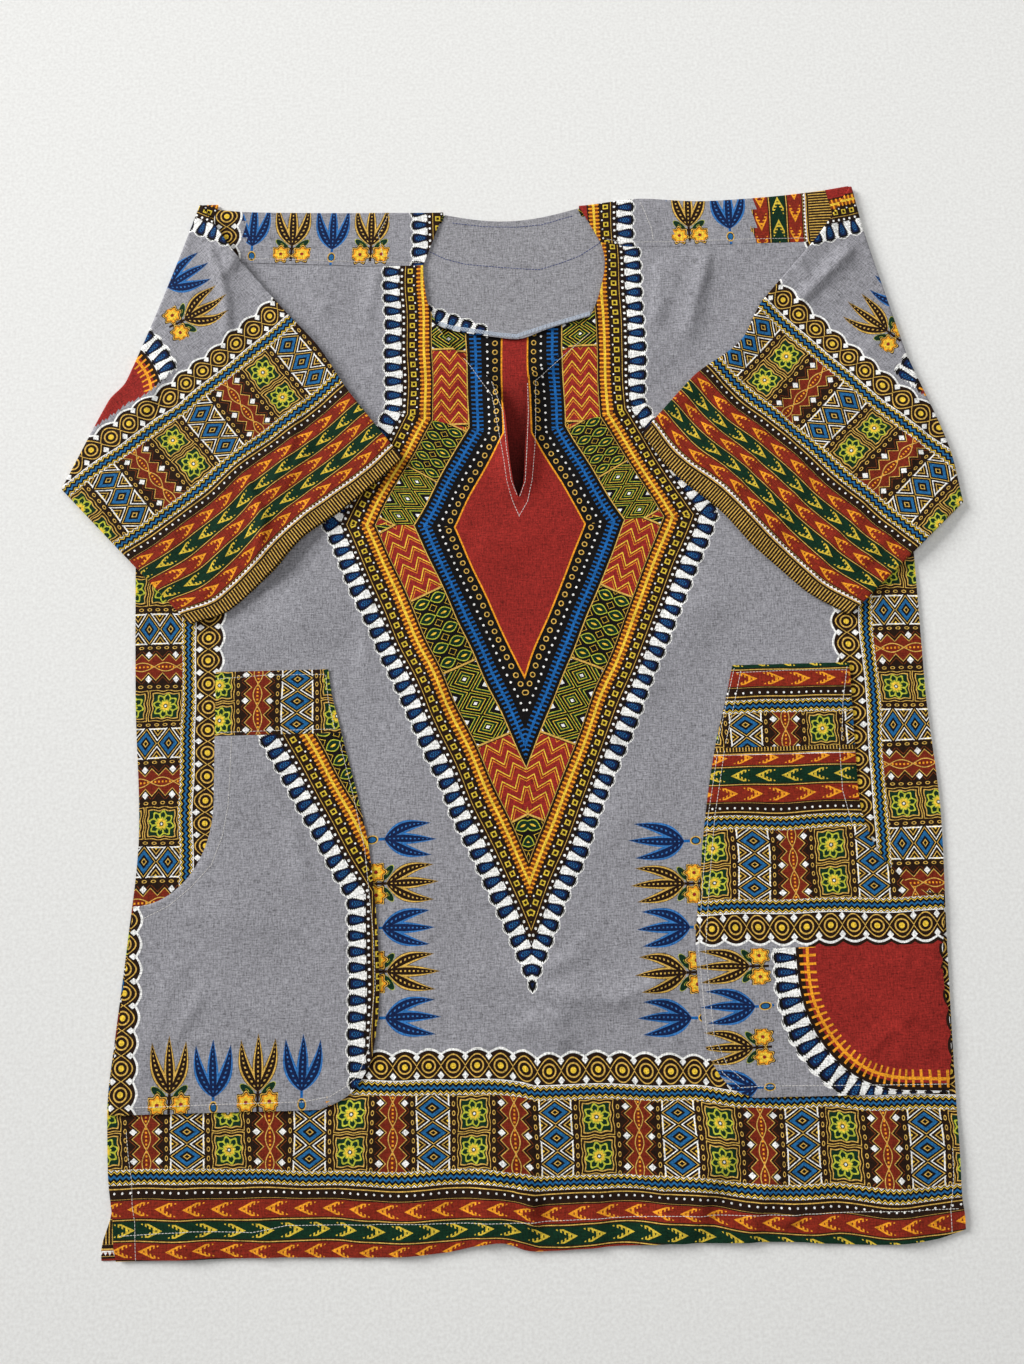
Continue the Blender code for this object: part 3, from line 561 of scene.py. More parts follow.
def fine_relief(x, y):
    """The finer creases of the front and strips, which end before what lies on them."""
    creases = ridges(x, y, FINE_CREASES) * CREASE_GAIN + bent_ridges(x, y, FRONT_BENDS)
    covered = max(pocket_cover(x, y), sleeve_cover(x, y))
    return (creases + rumple(x, y, FRONT_RUMPLE)) * (1 - covered)


def wander(x, y):
    """A place in the print, pulled a little out of line as in cloth that is laid by hand."""
    at = Vector((x / WANDER_SIZE, y / WANDER_SIZE, WANDER_SECOND / 2))
    aside = noise.noise(at) * WANDER
    return x + aside, y + noise.noise(at + Vector((0.0, 0.0, WANDER_SECOND))) * WANDER


def hem_shift(x, y):
    return read(HEM, x) * (1 - smooth_step(y / HEM_FADE))


def neck_lift(x, y):
    """The cut edges of the slit stand up from the back, and those of the neck a little."""
    if y < SLIT_TIP - SLIT_LIFT_WIDTH:
        return 0.0
    off = min(abs(x - neck_edge("left", y)), abs(x - neck_edge("right", y)))
    height = mix(SLIT_LIFT, NECK_LIFT, smooth_step((y - NECK_LIFT_START) / SLIT_LIFT_LENGTH))
    rise = smooth_step((y - SLIT_TIP + SLIT_LIFT_WIDTH) / SLIT_LIFT_LENGTH)
    return height * rise * math.exp(-((off / SLIT_LIFT_WIDTH) ** 2))


def hem_form(y):
    """The turned-up hem is thicker, sinks along its stitches and droops to the layer below."""
    turned = HEM_TURN_HEIGHT * (1 - smooth_step((y - HEM_TURN) / STITCH_SINK_WIDTH))
    sunk = STITCH_SINK * math.exp(-(((y - HEM_TURN) / STITCH_SINK_WIDTH) ** 2))
    droop = HEM_DROOP * (1 - smooth_step(y / HEM_DROOP_LENGTH))
    return turned - sunk - droop


# --- Making a shell of cloth ----------------------------------------------------------------------

# Where a material lies: holds says whether a place has it, and place how the print lies there.
Zone = namedtuple("Zone", "material holds place")


def mesh_object(name, verts, faces, materials):
    mesh = bpy.data.meshes.new(name)
    mesh.from_pydata(verts, [], faces)
    for material in materials:
        mesh.materials.append(material)
    piece = bpy.data.objects.new(name, mesh)
    bpy.context.scene.collection.objects.link(piece)
    return piece


def to_world(point):
    return (point[0] + SHIFT_X) * MM, (point[1] + SHIFT_Y) * MM, point[2] * MM


def cloth(name, points, prints, cells, zones, inner_only=0):
    """A closed shell: points maps a key to its (inner, outer) corners, prints to its print place.

    The first zones, as many as inner_only says, lie on its inner side alone.
    """
    keys = list(points)
    number = {key: i for i, key in enumerate(keys)}
    total = len(keys)
    outer = [points[key][1] for key in keys]
    inner = [tuple(mix(b, a, SHELL / WALL) for a, b in zip(*points[key])) for key in keys]
    first = number[cells[0][0]]
    a, b, c = (Vector(outer[number[key]]) for key in cells[0][:3])
    if (b - a).cross(c - b).dot(a - Vector(inner[first])) < 0:
        cells = [cell[::-1] for cell in cells]

    def zone_at(middle, start=0):
        return next(i for i, zone in enumerate(zones) if i >= start and zone.holds(*middle))

    faces, kinds, uses = [], [], {}
    for cell in cells:
        ids = [number[key] for key in cell]
        middle = [sum(prints[key][i] for key in cell) / len(cell) for i in range(2)]
        zone = zone_at(middle)
        faces += [ids, [i + total for i in reversed(ids)]]
        kinds += [zone if zone >= inner_only else zone_at(middle, inner_only), zone]
        for p, q in zip(ids, ids[1:] + ids[:1]):
            uses.setdefault((min(p, q), max(p, q)), []).append((p, q, zone))
    for found in uses.values():
        if len(found) == 1:
            p, q, zone = found[0]
            faces.append([q, p, p + total, q + total])
            kinds.append(zone)
    materials = list(dict.fromkeys(zone.material for zone in zones))
    piece = mesh_object(name, [to_world(p) for p in outer + inner], faces, materials)
    mesh = piece.data
    motif, weave = [], []
    for face, kind in zip(faces, kinds):
        for i in face:
            at = prints[keys[i % total]]
            motif += zones[kind].place(*wander(*at))
            weave += at
    for title, places in (("Motif", motif), ("Weave", weave)):
        mesh.uv_layers.new(name=title).data.foreach_set("uv", places)
    mesh.polygons.foreach_set("material_index", [materials.index(zones[kind].material) for kind in kinds])
    mesh.shade_smooth()
    mesh.set_sharp_from_angle(angle=math.radians(SHARP_ANGLE))
    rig.ride(piece, "root")
    return piece


def laid(x, y, underside):
    return (x, y, underside), (x, y, underside + WALL)


def grid_cells(rows, columns):
    return [((r, c), (r, c + 1), (r + 1, c + 1), (r + 1, c)) for r in range(rows) for c in range(columns)]


def grid(rows, columns, place):
    """The points, prints and cells of a piece, from the corners and print place of each key."""
    keys = [(r, c) for r in range(rows + 1) for c in range(columns + 1)]
    found = {key: place(*key) for key in keys}
    corners, prints = ({key: found[key][i] for key in keys} for i in range(2))
    return corners, prints, grid_cells(rows, columns)


# --- Shader arithmetic ----------------------------------------------------------------------------


def sign(operation, *last, swapped=False):
    """A method of Number that adds one node of arithmetic."""

    def method(*values):
        values += last
        return calc(operation, *(values[::-1] if swapped else values))

    return method


class Number:
    """A value in a shader, which Python's own signs turn into nodes."""

    def __init__(self, net, socket):
        self.net, self.socket = net, socket

    __add__ = sign("ADD")
    __sub__, __rsub__ = sign("SUBTRACT"), sign("SUBTRACT", swapped=True)
    __mul__, __rmul__ = sign("MULTIPLY"), sign("MULTIPLY", swapped=True)
    __truediv__ = sign("DIVIDE")
    __abs__ = sign("ABSOLUTE")
    __lt__, __gt__ = sign("LESS_THAN"), sign("GREATER_THAN")
    __and__, __or__ = sign("MULTIPLY"), sign("MAXIMUM")
    wrap, ping = sign("WRAP", 0.0), sign("PINGPONG")
    near = sign("COMPARE")
    floor, sine = sign("FLOOR"), sign("SINE")


def calc(operation, *values):
    """One node of arithmetic. At least one of the values is a Number."""
    net = next(value.net for value in values if isinstance(value, Number))
    made = net.node("ShaderNodeMath", operation=operation)
    for value, socket in zip(values, made.inputs):
        net.join(value, socket)
    return Number(net, made.outputs[0])


def product_and(first, second, added):
    """first * second + added."""
    return calc("MULTIPLY_ADD", first, second, added)


def higher(first, second):
    return calc("MAXIMUM", first, second)


def lower_of(first, second):
    return calc("MINIMUM", first, second)


def hypot(x, y):
    return calc("SQRT", product_and(x, x, y * y))


def swing(along, pitch):
    """Humps from 0 to 1, a pitch apart."""
    return abs((along * (math.pi / pitch)).sine())


def bands(value, low, high, *stops):
    """Flat colours along a value: each stop is where its colour starts."""
    net = value.net
    ramp = net.node("ShaderNodeValToRGB")
    ramp.color_ramp.interpolation = "CONSTANT"
    elements = ramp.color_ramp.elements
    while len(elements) > 1:
        elements.remove(elements[-1])
    elements[0].position = 0.0
    elements[0].color = (*stops[0][1], 1.0)
    for start, colour in stops[1:]:
        elements.new((start - low) / (high - low)).color = (*colour, 1.0)
    net.join(product_and(value, 1 / (high - low), -low / (high - low)), ramp.inputs[0])
    return ramp.outputs[0]


def paint(under, over, mask):
    """One colour over another where the mask is 1."""
    net = mask.net
    made = net.node("ShaderNodeMix", data_type="RGBA")
    for value, socket in ((mask, made.inputs[0]), (under, made.inputs[6]), (over, made.inputs[7])):
        net.join((*value, 1.0) if isinstance(value, tuple) else value, socket)
    return made.outputs[2]


# The weave's yarns, unevenness and wear: how fine the noise is, and how much it shades the colour.
YARN_ALONG = (1.0, 0.14, 1.0)
YARN_ACROSS = (0.14, 1.0, 1.0)
MOTTLE = (0.75, 0.75, 1.0)
WEAR = (0.018, 0.018, 1.0)
THREAD_TURN = 2 * math.pi / 0.8
YARN_CONTRAST = 1.35
MOTTLE_CONTRAST = 1.5
WEAR_CONTRAST = 0.2
THREAD_CONTRAST = 0.08
YARN_RELIEF = 2.0
BUMP_STRENGTH = 0.5
BUMP_DISTANCE = 0.00014  # metres
ROUGH_LEVEL = 0.88
ROUGH_CHANGE = 0.1
COTTON_SPECULAR = 0.12
COTTON_SHEEN = 0.03
COTTON_SHEEN_ROUGHNESS = 0.5


class Net:
    """The node tree of one material."""

    def __init__(self, name):
        self.material = bpy.data.materials.new(name)
        self.material.use_nodes = True
        self.tree = self.material.node_tree
        self.shader = self.tree.nodes["Principled BSDF"]

    def node(self, kind, **settings):
        made = self.tree.nodes.new(kind)
        for key, value in settings.items():
            setattr(made, key, value)
        return made

    def join(self, value, socket):
        if isinstance(value, Number):
            value = value.socket
        if isinstance(value, bpy.types.NodeSocket):
            self.tree.links.new(value, socket)
        else:
            socket.default_value = value

    def fill(self, node, **inputs):
        """Sets or joins a node's inputs, named with _ for their spaces."""
        for name, value in inputs.items():
            self.join(value, node.inputs[name.replace("_", " ")])

    def place(self, name):
        """The two coordinates of a UV map, in millimetres, and their vector."""
        source = self.node("ShaderNodeUVMap", uv_map=name)
        split = self.node("ShaderNodeSeparateXYZ")
        self.join(source.outputs[0], split.inputs[0])
        return Number(self, split.outputs[0]), Number(self, split.outputs[1]), source.outputs[0]

    def object_place(self):
        return self.node("ShaderNodeTexCoord").outputs["Object"]

    def noise(self, vector, **inputs):
        texture = self.node("ShaderNodeTexNoise")
        self.fill(texture, Vector=vector, **inputs)
        return Number(self, texture.outputs[0])

    def fibres(self, vector, scale):
        """Soft noise between 0 and 1, drawn out along the direction in which its scale is small."""
        mapping = self.node("ShaderNodeMapping")
        self.fill(mapping, Scale=scale, Vector=vector)
        return self.noise(mapping.outputs[0], Scale=1.0, Detail=2.0, Roughness=0.6)

    def bump(self, height, strength, distance):
        made = self.node("ShaderNodeBump")
        self.fill(made, Strength=strength, Distance=distance, Height=height)
        self.fill(self.shader, Normal=made.outputs[0])

    def finish(self, colour):
        """Lays the weave over a print or a plain colour, and joins both to the shader."""
        u, v, vector = self.place("Weave")
        yarn = self.fibres(vector, YARN_ALONG) + self.fibres(vector, YARN_ACROSS)
        threads = (u * THREAD_TURN).sine() * (v * THREAD_TURN).sine()
        shade = 1 - YARN_CONTRAST - (MOTTLE_CONTRAST + WEAR_CONTRAST) / 2
        for part, contrast in (
            (yarn, YARN_CONTRAST),
            (self.fibres(vector, MOTTLE), MOTTLE_CONTRAST),
            (self.fibres(vector, WEAR), WEAR_CONTRAST),
            (threads, THREAD_CONTRAST),
        ):
            shade = product_and(part, contrast, shade)
        self.fill(self.shader, Base_Color=self.shaded(colour, shade))
        self.bump(product_and(yarn, YARN_RELIEF, threads), BUMP_STRENGTH, BUMP_DISTANCE)
        roughness = product_and(yarn, ROUGH_CHANGE, ROUGH_LEVEL - ROUGH_CHANGE)
        self.fill(self.shader, Roughness=roughness, Specular_IOR_Level=COTTON_SPECULAR,
                  Sheen_Weight=COTTON_SHEEN, Sheen_Roughness=COTTON_SHEEN_ROUGHNESS)
        return self.material

    def shaded(self, colour, shade):
        """A colour times a grey shade."""
        mixed = self.node("ShaderNodeMix", data_type="RGBA", blend_type="MULTIPLY")
        mixed.inputs[0].default_value = 1.0
        self.join((*colour, 1.0) if isinstance(colour, tuple) else colour, mixed.inputs[6])
        self.join(shade, mixed.inputs[7])
        return mixed.outputs[2]


# --- Inks -----------------------------------------------------------------------------------------


def ink(red, green, blue):
    """A colour given as it looks on a screen, from 0 to 255."""
    return tuple(
        (c / 255 / 12.92) if c <= 10 else ((c / 255 + 0.055) / 1.055) ** 2.4 for c in (red, green, blue)
    )


GREY = ink(148, 147, 152)
FACING_GREY = ink(147, 146, 150)
WHITE = ink(242, 241, 237)
BROWN = ink(36, 20, 9)
BLACK = ink(15, 12, 12)
RED = ink(146, 40, 34)
DARK_RED = ink(118, 38, 20)
BRICK = ink(132, 40, 24)
MAIZE = ink(216, 186, 60)
RUST = ink(128, 60, 20)
GOLD = ink(214, 172, 82)
YELLOW = ink(236, 196, 62)
ORANGE = ink(240, 158, 38)
SKY = ink(54, 118, 184)
BLUE = ink(26, 96, 164)
TEAL = ink(34, 99, 150)
NAVY = ink(16, 32, 72)
GREEN = ink(12, 46, 28)
LIME = ink(184, 188, 58)
# Painted shade: the near-black that the back's inner side is painted towards at the slit's foot, in place of the
# shadow of the slit's lips.
PAINTED_SHADE_DARK = ink(22, 6, 5)

# --- The border print -----------------------------------------------------------------------------
# The border is read from its scalloped inner edge outwards: a rope, zigzags, a broad band of columns,
# zigzags, dots, five rows of chevrons and a band of ticks. d is the place across it and s along it.

ROPE_PITCH = 17.5
ROPE_MIDDLE = 10.0
ROPE_SWING = 8.0
EDGE_SWING = 3.4
COLUMN_PITCH = 29.5
COLUMN_HALF = 12.2
CHAIN_AT = 26.95
DIAMOND_HALF = 8.67
BROAD_START = 30.0
BROAD_MIDDLE = 56.0
ZIGZAG_OFF = 31.0
ROWS_START = 101.0
ROW_HEIGHT = 14.0
CHEVRON_PITCH = 19.6
CHEVRON_SLOPE = 2.2
CHEVRON_TOOTH = 2.8
CHEVRON_ROWS = 5
BORDER_WIDTH = 185.0


def rope(s, d, colour):
    """Two crossing waves whose eyes each hold a ringed disc."""
    off = abs(d - ROPE_MIDDLE)
    edge = off - swing(s, ROPE_PITCH) * ROPE_SWING
    colour = paint(colour, GOLD, edge.near(0.3, 0.5) & (d < 18.6))
    radius = hypot(s.wrap(ROPE_PITCH) - ROPE_PITCH / 2, off)
    disc = bands(radius, 0.0, 9.0, (0.0, YELLOW), (2.1, BROWN), (4.1, GOLD), (5.2, BROWN))
    colour = paint(colour, disc, radius < 6.0)
    cross = (s + ROPE_PITCH / 2).wrap(ROPE_PITCH) - ROPE_PITCH / 2
    return paint(colour, WHITE, abs(cross) + abs(off - 6.6) * 0.8 < 2.4)


def zigzags(s, d, colour):
    """Two bands of zigzag lines, mirrored about the middle of the broad band."""
    turn = abs(d - BROAD_MIDDLE) - ZIGZAG_OFF - 0.95 + s.ping(2.2) * 0.86
    lines = bands(turn, -6.0, 6.0,
        (-6.0, GOLD), (-4.9, WHITE), (-4.2, BROWN), (-3.4, YELLOW), (-2.7, BLACK), (-0.85, TEAL),
        (0.85, BLACK), (2.7, YELLOW), (3.4, BROWN), (4.2, WHITE), (4.9, GOLD),
    )
    return paint(colour, lines, abs(d - BROAD_MIDDLE).near(ZIGZAG_OFF, 5.0))


def diamond_column(ax, d):
    """Nested diamonds between two white lines."""
    lozenge = product_and(ax, DIAMOND_HALF / COLUMN_HALF, (d - BROAD_START + DIAMOND_HALF).ping(DIAMOND_HALF))
    column = bands(lozenge, 0.0, 18.0,
        (0.0, BLACK), (1.3, GOLD), (2.1, BLACK), (3.9, TEAL), (6.4, BLACK), (7.7, GOLD), (8.4, BLACK),
        (9.9, WHITE), (10.8, BROWN), (12.6, GOLD), (13.5, BROWN), (15.2, YELLOW),
    )
    return paint(column, WHITE, ax.near(11.4, 0.5) & (lozenge > 10.2))


def rosette_column(x, ax, d):
    """Flowers of eight petals, each in a gold frame."""
    y = (d - BROAD_START).wrap(26.0) - 13.0
    radius = hypot(x, y)
    petals = (calc("ARCTAN2", y, x) * 8.0).sine()
    rosette = bands(radius * product_and(petals, 0.13, 1.0), 0.0, 20.0,
        (0.0, WHITE), (0.8, GREEN), (1.6, YELLOW), (3.6, LIME), (4.4, GREEN), (7.4, LIME), (8.7, GREEN),
    )
    rosette = paint(rosette, LIME, (petals > 0.6) & radius.near(5.8, 1.9))
    frame_off = higher(ax, abs(y) * 0.96) + petals * 0.45
    square = bands(frame_off, 0.0, 14.0,
        (0.0, GREEN), (9.2, GOLD), (10.0, BROWN), (11.4, GOLD), (12.0, BROWN),
    )
    return paint(rosette, square, frame_off > 9.2)


def toothed_column(ax, d):
    """A red strip with toothed gold edges, white squares, and two gold waves round a row of dashes."""
    up = d - BROAD_START
    spiky = bands(ax + up.ping(5.2) * 1.05, 0.0, 18.0,
        (0.0, DARK_RED), (9.6, GOLD), (10.4, BROWN), (12.4, RUST), (13.0, BROWN),
    )
    square = abs(ax - 9.2) * 0.9 + abs((up + 5.2).wrap(20.8) - 10.4)
    spiky = paint(spiky, WHITE, square < 2.5)
    lens = (ax - abs((d * (math.pi / 17.33)).sine()) * 3.2).near(0.0, 0.36)
    spiky = paint(spiky, ORANGE, (ax < 0.7) & (d.wrap(2.8) < 1.3))
    return paint(spiky, GOLD, lens)


def chain_strip(link, d):
    """Gold links on the strip beside the columns; link is how far a place is from its middle."""
    step = d.wrap(6.5) - 3.25
    oval = product_and(link * link, 0.55, step * step * 0.20)
    return bands(oval, 0.0, 4.0, (0.0, BROWN), (0.22, GOLD), (0.7, BROWN))


def chevron_rows(s, d):
    """Rows of chevrons, red and green by turns, that point opposite ways."""
    row = ((d - ROWS_START) / ROW_HEIGHT).floor()
    parity = row.wrap(2.0)
    off_row = abs((d - ROWS_START).wrap(ROW_HEIGHT) - ROW_HEIGHT / 2)
    rows = bands(off_row, 0.0, 7.0, (0.0, BRICK), (5.8, BROWN), (6.65, GOLD))
    green = bands(off_row, 0.0, 7.0, (0.0, GREEN), (5.8, BROWN), (6.65, GOLD))
    rows = paint(rows, green, parity)
    way = 1.0 - parity * 2.0
    place = s * way + row * 6.0
    arm = (place - off_row * CHEVRON_SLOPE).wrap(CHEVRON_PITCH)
    comb = arm.near(4.6, 1.9) & (place.wrap(CHEVRON_TOOTH) < 1.2)
    closing = place.wrap(CHEVRON_PITCH).near(5.4, 0.5) & (off_row < 1.8)
    stroke = ((arm < 2.8) | comb) & (off_row < 4.5)
    return paint(rows, paint(ORANGE, MAIZE, parity), stroke | closing)


def border_on_red(s, d, ground):
    """The border's inner edge where a plain red field meets it, with a dark line between them."""
    edge = d + swing(s, ROPE_PITCH) * EDGE_SWING
    return border(s, d, paint(RED, BROWN, edge > -1.9))


def border(s, d, ground):
    """The whole border on a ground, from its inner edge outwards."""
    colour = bands(d, -5.0, 190.0,
        (-5.0, BROWN), (19.2, WHITE), (20.0, BROWN), (94.0, GOLD), (94.5, BROWN), (100.2, GOLD),
        (100.7, BROWN), (171.0, DARK_RED), (173.0, GOLD), (174.0, BROWN), (175.0, GOLD),
    )
    colour = zigzags(s, d, rope(s, d, colour))
    run = s.wrap(COLUMN_PITCH)
    x = run - COLUMN_HALF
    ax = abs(x)
    kind = (s / COLUMN_PITCH).floor().wrap(3.0)
    columns = paint(diamond_column(ax, d), rosette_column(x, ax, d), kind.near(1.0, 0.4))
    columns = paint(columns, toothed_column(ax, d), kind.near(2.0, 0.4))
    columns = paint(columns, chain_strip(abs(run - CHAIN_AT), d), run > 2 * COLUMN_HALF)
    colour = paint(colour, columns, d.near(BROAD_MIDDLE, 25.9))
    colour = paint(colour, WHITE, hypot(s.wrap(5.8) - 2.9, d - 97.2) < 0.8)
    colour = paint(colour, chevron_rows(s, d), d.near(136.0, 34.9))
    sawtooth = (d - 171.0 - s.ping(1.6) * 1.1) > 0.0
    colour = paint(colour, WHITE, sawtooth & d.near(172.0, 1.0))
    colour = paint(colour, BROWN, (s.wrap(2.4) < 1.6) & (d > 175.6))
    edge = d + swing(s, ROPE_PITCH) * EDGE_SWING
    return paint(ground, paint(colour, WHITE, edge < 2.3), edge > 0.6)


# --- The medallion's trim -------------------------------------------------------------------------
# Concentric bands, read from a white scalloped edge inwards: beads and stems, dots, squares, an orange
# ladder, a broad band of panels, a blue ladder, dots and rings, and the red middle.

SCALLOP_PITCH = 11.6
PANEL_LENGTH = 62.0


def beads(s, d, colour):
    """Dark beads with rough outlines."""
    across = abs(s.wrap(SCALLOP_PITCH) - SCALLOP_PITCH / 2)
    up = d - 9.2
    rough = (d.wrap(1.6) < 0.7) * 0.18
    drop = across * product_and(up, 0.07, 1.0)
    bead = product_and(drop * drop, 0.078, up * up * 0.0165) + rough
    inks = bands(bead, 0.0, 2.0, (0.0, NAVY), (0.08, TEAL), (0.22, NAVY), (0.60, BLACK))
    return paint(colour, inks, bead < 1.1)


def stems(s, d, colour):
    """Ragged brown stems that join the beads to the brown band, and widen towards it."""
    across = abs(s.wrap(SCALLOP_PITCH) - SCALLOP_PITCH / 2)
    half = product_and(d, 0.42, (d.wrap(1.6) < 0.7) * 0.8 - 3.6)
    return paint(colour, BROWN, (across < half) & d.near(13.0, 2.6))


def scalloped_edge(s, d, colour, ground):
    return paint(ground, colour, (d + swing(s, SCALLOP_PITCH) * 2.6) > 3.0)


def quarter(s, d, ground):
    """Beads on a white band and one laddered orange band round a plain red field."""
    colour = bands(d, -6.0, 100.0, (-6.0, WHITE), (19.4, BROWN), (24.8, RED))
    colour = beads(s * 1.06, d * 0.8, stems(s * 1.06, d * 0.8, colour))
    rungs = (s.wrap(6.2) < 1.9) & d.near(28.2, 6.1)
    colour = paint(colour, ORANGE, rungs | d.near(28.2, 1.1))
    return scalloped_edge(s, d, colour, ground)


def panels(panel, d):
    """Panels of zigzags, leaves and nested lozenges by turns. panel counts them along the trim."""
    part = panel.wrap(1.0) * PANEL_LENGTH
    kind = panel.floor().wrap(3.0)
    inner = d - 40.6
    fold = (part + inner.ping(6.6) * 1.3).wrap(10.0)
    zig = bands(fold, 0.0, 10.0, (0.0, YELLOW), (1.3, RED), (3.2, ORANGE), (3.9, RED))
    leaf_p = part.wrap(12.4) - 6.2
    leaf_q = inner.wrap(13.3)
    leaf = abs(leaf_p) - (leaf_q * (math.pi / 13.3)).sine() * 4.4
    leaves = bands(leaf, -6.0, 8.0,
        (-6.0, YELLOW), (-3.6, GREEN), (-0.9, LIME), (0.0, BLACK), (2.9, YELLOW), (3.3, BLACK),
    )
    check = abs(part.wrap(20.67) - 10.33) * 1.29 + abs(inner.wrap(26.6) - 13.3)
    nested = bands(check, 0.0, 28.0,
        (0.0, WHITE), (1.8, BLACK), (3.8, LIME), (4.8, GREEN), (7.6, YELLOW), (8.5, BLACK), (11.4, LIME),
        (12.3, BLACK), (14.6, YELLOW), (15.4, GREEN), (18.2, LIME), (19.2, BLACK), (23.6, WHITE),
    )
    colour = paint(zig, leaves, kind.near(1.0, 0.4))
    colour = paint(colour, nested, kind.near(2.0, 0.4))
    edges = bands(part, 0.0, PANEL_LENGTH, (0.0, GOLD), (0.7, BROWN), (1.4, RED))
    colour = paint(colour, edges, part < 1.4)
    return paint(colour, GOLD, part > PANEL_LENGTH - 0.7)


def ladder(s, d, colour, middle, rung_paint, line_paint):
    """A line with short rungs across it."""
    rungs = (s.wrap(3.5) < 1.35) & d.near(middle, 4.4)
    return paint(paint(colour, rung_paint, rungs), line_paint, d.near(middle, 1.0))


def trim(s, d, ground, panel=None):
    """The medallion's bands, or without a panel number only those outside the broad band."""
    stops = [(-6.0, WHITE), (15.4, BROWN), (19.8, GOLD), (20.5, BROWN), (30.4, RUST), (37.6, BROWN)]
    if panel is None:
        stops += [(39.4, RED)]
    else:
        stops += [(39.6, GOLD), (40.3, BROWN), (67.2, GOLD), (67.9, BLACK), (94.6, ORANGE), (95.6, RED)]
    colour = beads(s, d, stems(s, d, bands(d, -6.0, 100.0, *stops)))
    colour = paint(colour, WHITE, hypot(s.wrap(5.25) - 2.62, d - 17.5) < 1.0)
    square = higher(abs(s.wrap(8.0) - 4.0), abs(d - 24.4))
    colour = paint(colour, MAIZE, square.near(1.6, 0.5))
    colour = paint(colour, WHITE, hypot((s + 4.0).wrap(8.0) - 4.0, d - 27.4) < 0.7)
    colour = ladder(s, d, colour, 34.0, ORANGE, YELLOW)
    if panel is not None:
        colour = paint(colour, panels(panel, d), d.near(53.9, 13.2))
        colour = ladder(s, d, colour, 74.9, BLUE, BLUE)
        colour = paint(colour, WHITE, hypot(s.wrap(6.0) - 3.0, d - 84.0) < 0.9)
        ring = hypot(s.wrap(7.4) - 3.7, d - 90.0)
        colour = paint(colour, GOLD, ring.near(1.75, 0.4))
    return scalloped_edge(s, d, colour, ground)


Line = namedtuple("Line", "start end")


def beside(x, y, line):
    """How far along a line a point lies, and how far to the right of it, for a shader."""
    (x0, y0), (tx, ty) = line.start, direction(*line)[1:]
    run = product_and(x, tx, product_and(y, ty, -x0 * tx - y0 * ty))
    return run, product_and(x, ty, product_and(y, -tx, y0 * tx - x0 * ty))


def along(line, x, y):
    (x0, y0), (x1, y1) = line.start, line.end
    return ((x - x0) * (x1 - x0) + (y - y0) * (y1 - y0)) / math.hypot(x1 - x0, y1 - y0)


def right_of(line, x, y):
    return -beyond(line.start, line.end, x, y)


def pick(first, second, mask):
    """The second number where the mask is 1, and the first elsewhere."""
    return product_and(second - first, mask, first)


MEDALLION_SIDE = Line((106.0, 900.0), (106.0, 640.0))
MEDALLION_SHOULDER = Line((106.0, 628.0), (158.0, 536.0))
MEDALLION_FOOT = Line((158.0, 536.0), (0.0, 170.0))
MEDALLION_MIDDLE = -2.0

# How each line's panels are spaced, so that some end where the lines meet: the place along the line
# where the panel with this number starts, and its length.
Spacing = namedtuple("Spacing", "start number length")
SIDE_PANELS = Spacing(286.3, 4, 62.0)
SHOULDER_PANELS = Spacing(-14.1, 4, 46.5)
FOOT_PANELS = Spacing(26.8, 6, 61.7)


def medallion_inside(x, y):
    """How far inside the medallion's outline a point lies, as the shader works it out."""
    x = abs(x - MEDALLION_MIDDLE)
    side, shoulder, foot = (
        right_of(line, x, y) for line in (MEDALLION_SIDE, MEDALLION_SHOULDER, MEDALLION_FOOT)
    )
    return min(foot, max(side, shoulder))


def count_panels(s, spacing):
    return (s - spacing.start) / spacing.length + float(spacing.number)


def medallion(x, y, ground):
    """The trim inside the nearest of the medallion's lines, mirrored about its middle."""
    x = abs(x - MEDALLION_MIDDLE)
    s1, d1 = beside(x, y, MEDALLION_SIDE)
    s2, d2 = beside(x, y, MEDALLION_SHOULDER)
    s3, d3 = beside(x, y, MEDALLION_FOOT)
    upper = d2 > d1
    s12, d12 = pick(s1, s2, upper), higher(d1, d2)
    panel = pick(count_panels(s1, SIDE_PANELS), count_panels(s2, SHOULDER_PANELS), upper)
    lower = d3 < d12
    panel = pick(panel, count_panels(s3, FOOT_PANELS), lower)
    return trim(pick(s12, s3, lower), lower_of(d12, d3), ground, panel)


# Where the painted shade in the slit is darkest, and where it has faded out into the print.
PAINTED_SHADE_FOOT = 552.0
PAINTED_SHADE_TOP = 660.0


def inner_side(x, y, ground):
    """The back's inner side, seen through the slit: the medallion's print with painted shade that darkens it to near
    black at the slit's foot, where the lips keep the light from it.
    """
    print_there = medallion(x, y, ground)
    return paint(PAINTED_SHADE_DARK, print_there, (y - PAINTED_SHADE_FOOT) / (PAINTED_SHADE_TOP - PAINTED_SHADE_FOOT))


# --- Sprigs ---------------------------------------------------------------------------------------
# A row of fans of three pointed leaves, blue and gold by turns, with two daisies and two leaves at
# the foot of each gold one. p is the place along the row and q the height above its foot.

SPRIG_PITCH = 32.0
SPRIG_HEIGHT = 58.0
FAN_FOOT = 14.0
FAN_LEAN = math.radians(19.0)
WING_LEAN = (0.77, 0.64)


def leaf_shape(across, up, length, half_width):
    """0 at a leaf's vein and 1 at its outline, which is widest below the middle."""
    part = lower_of(higher(up / length, 0.0), 1.0)
    width = (calc("POWER", part, 0.72) * math.pi).sine()
    return abs(across) / (width * half_width + 0.001)


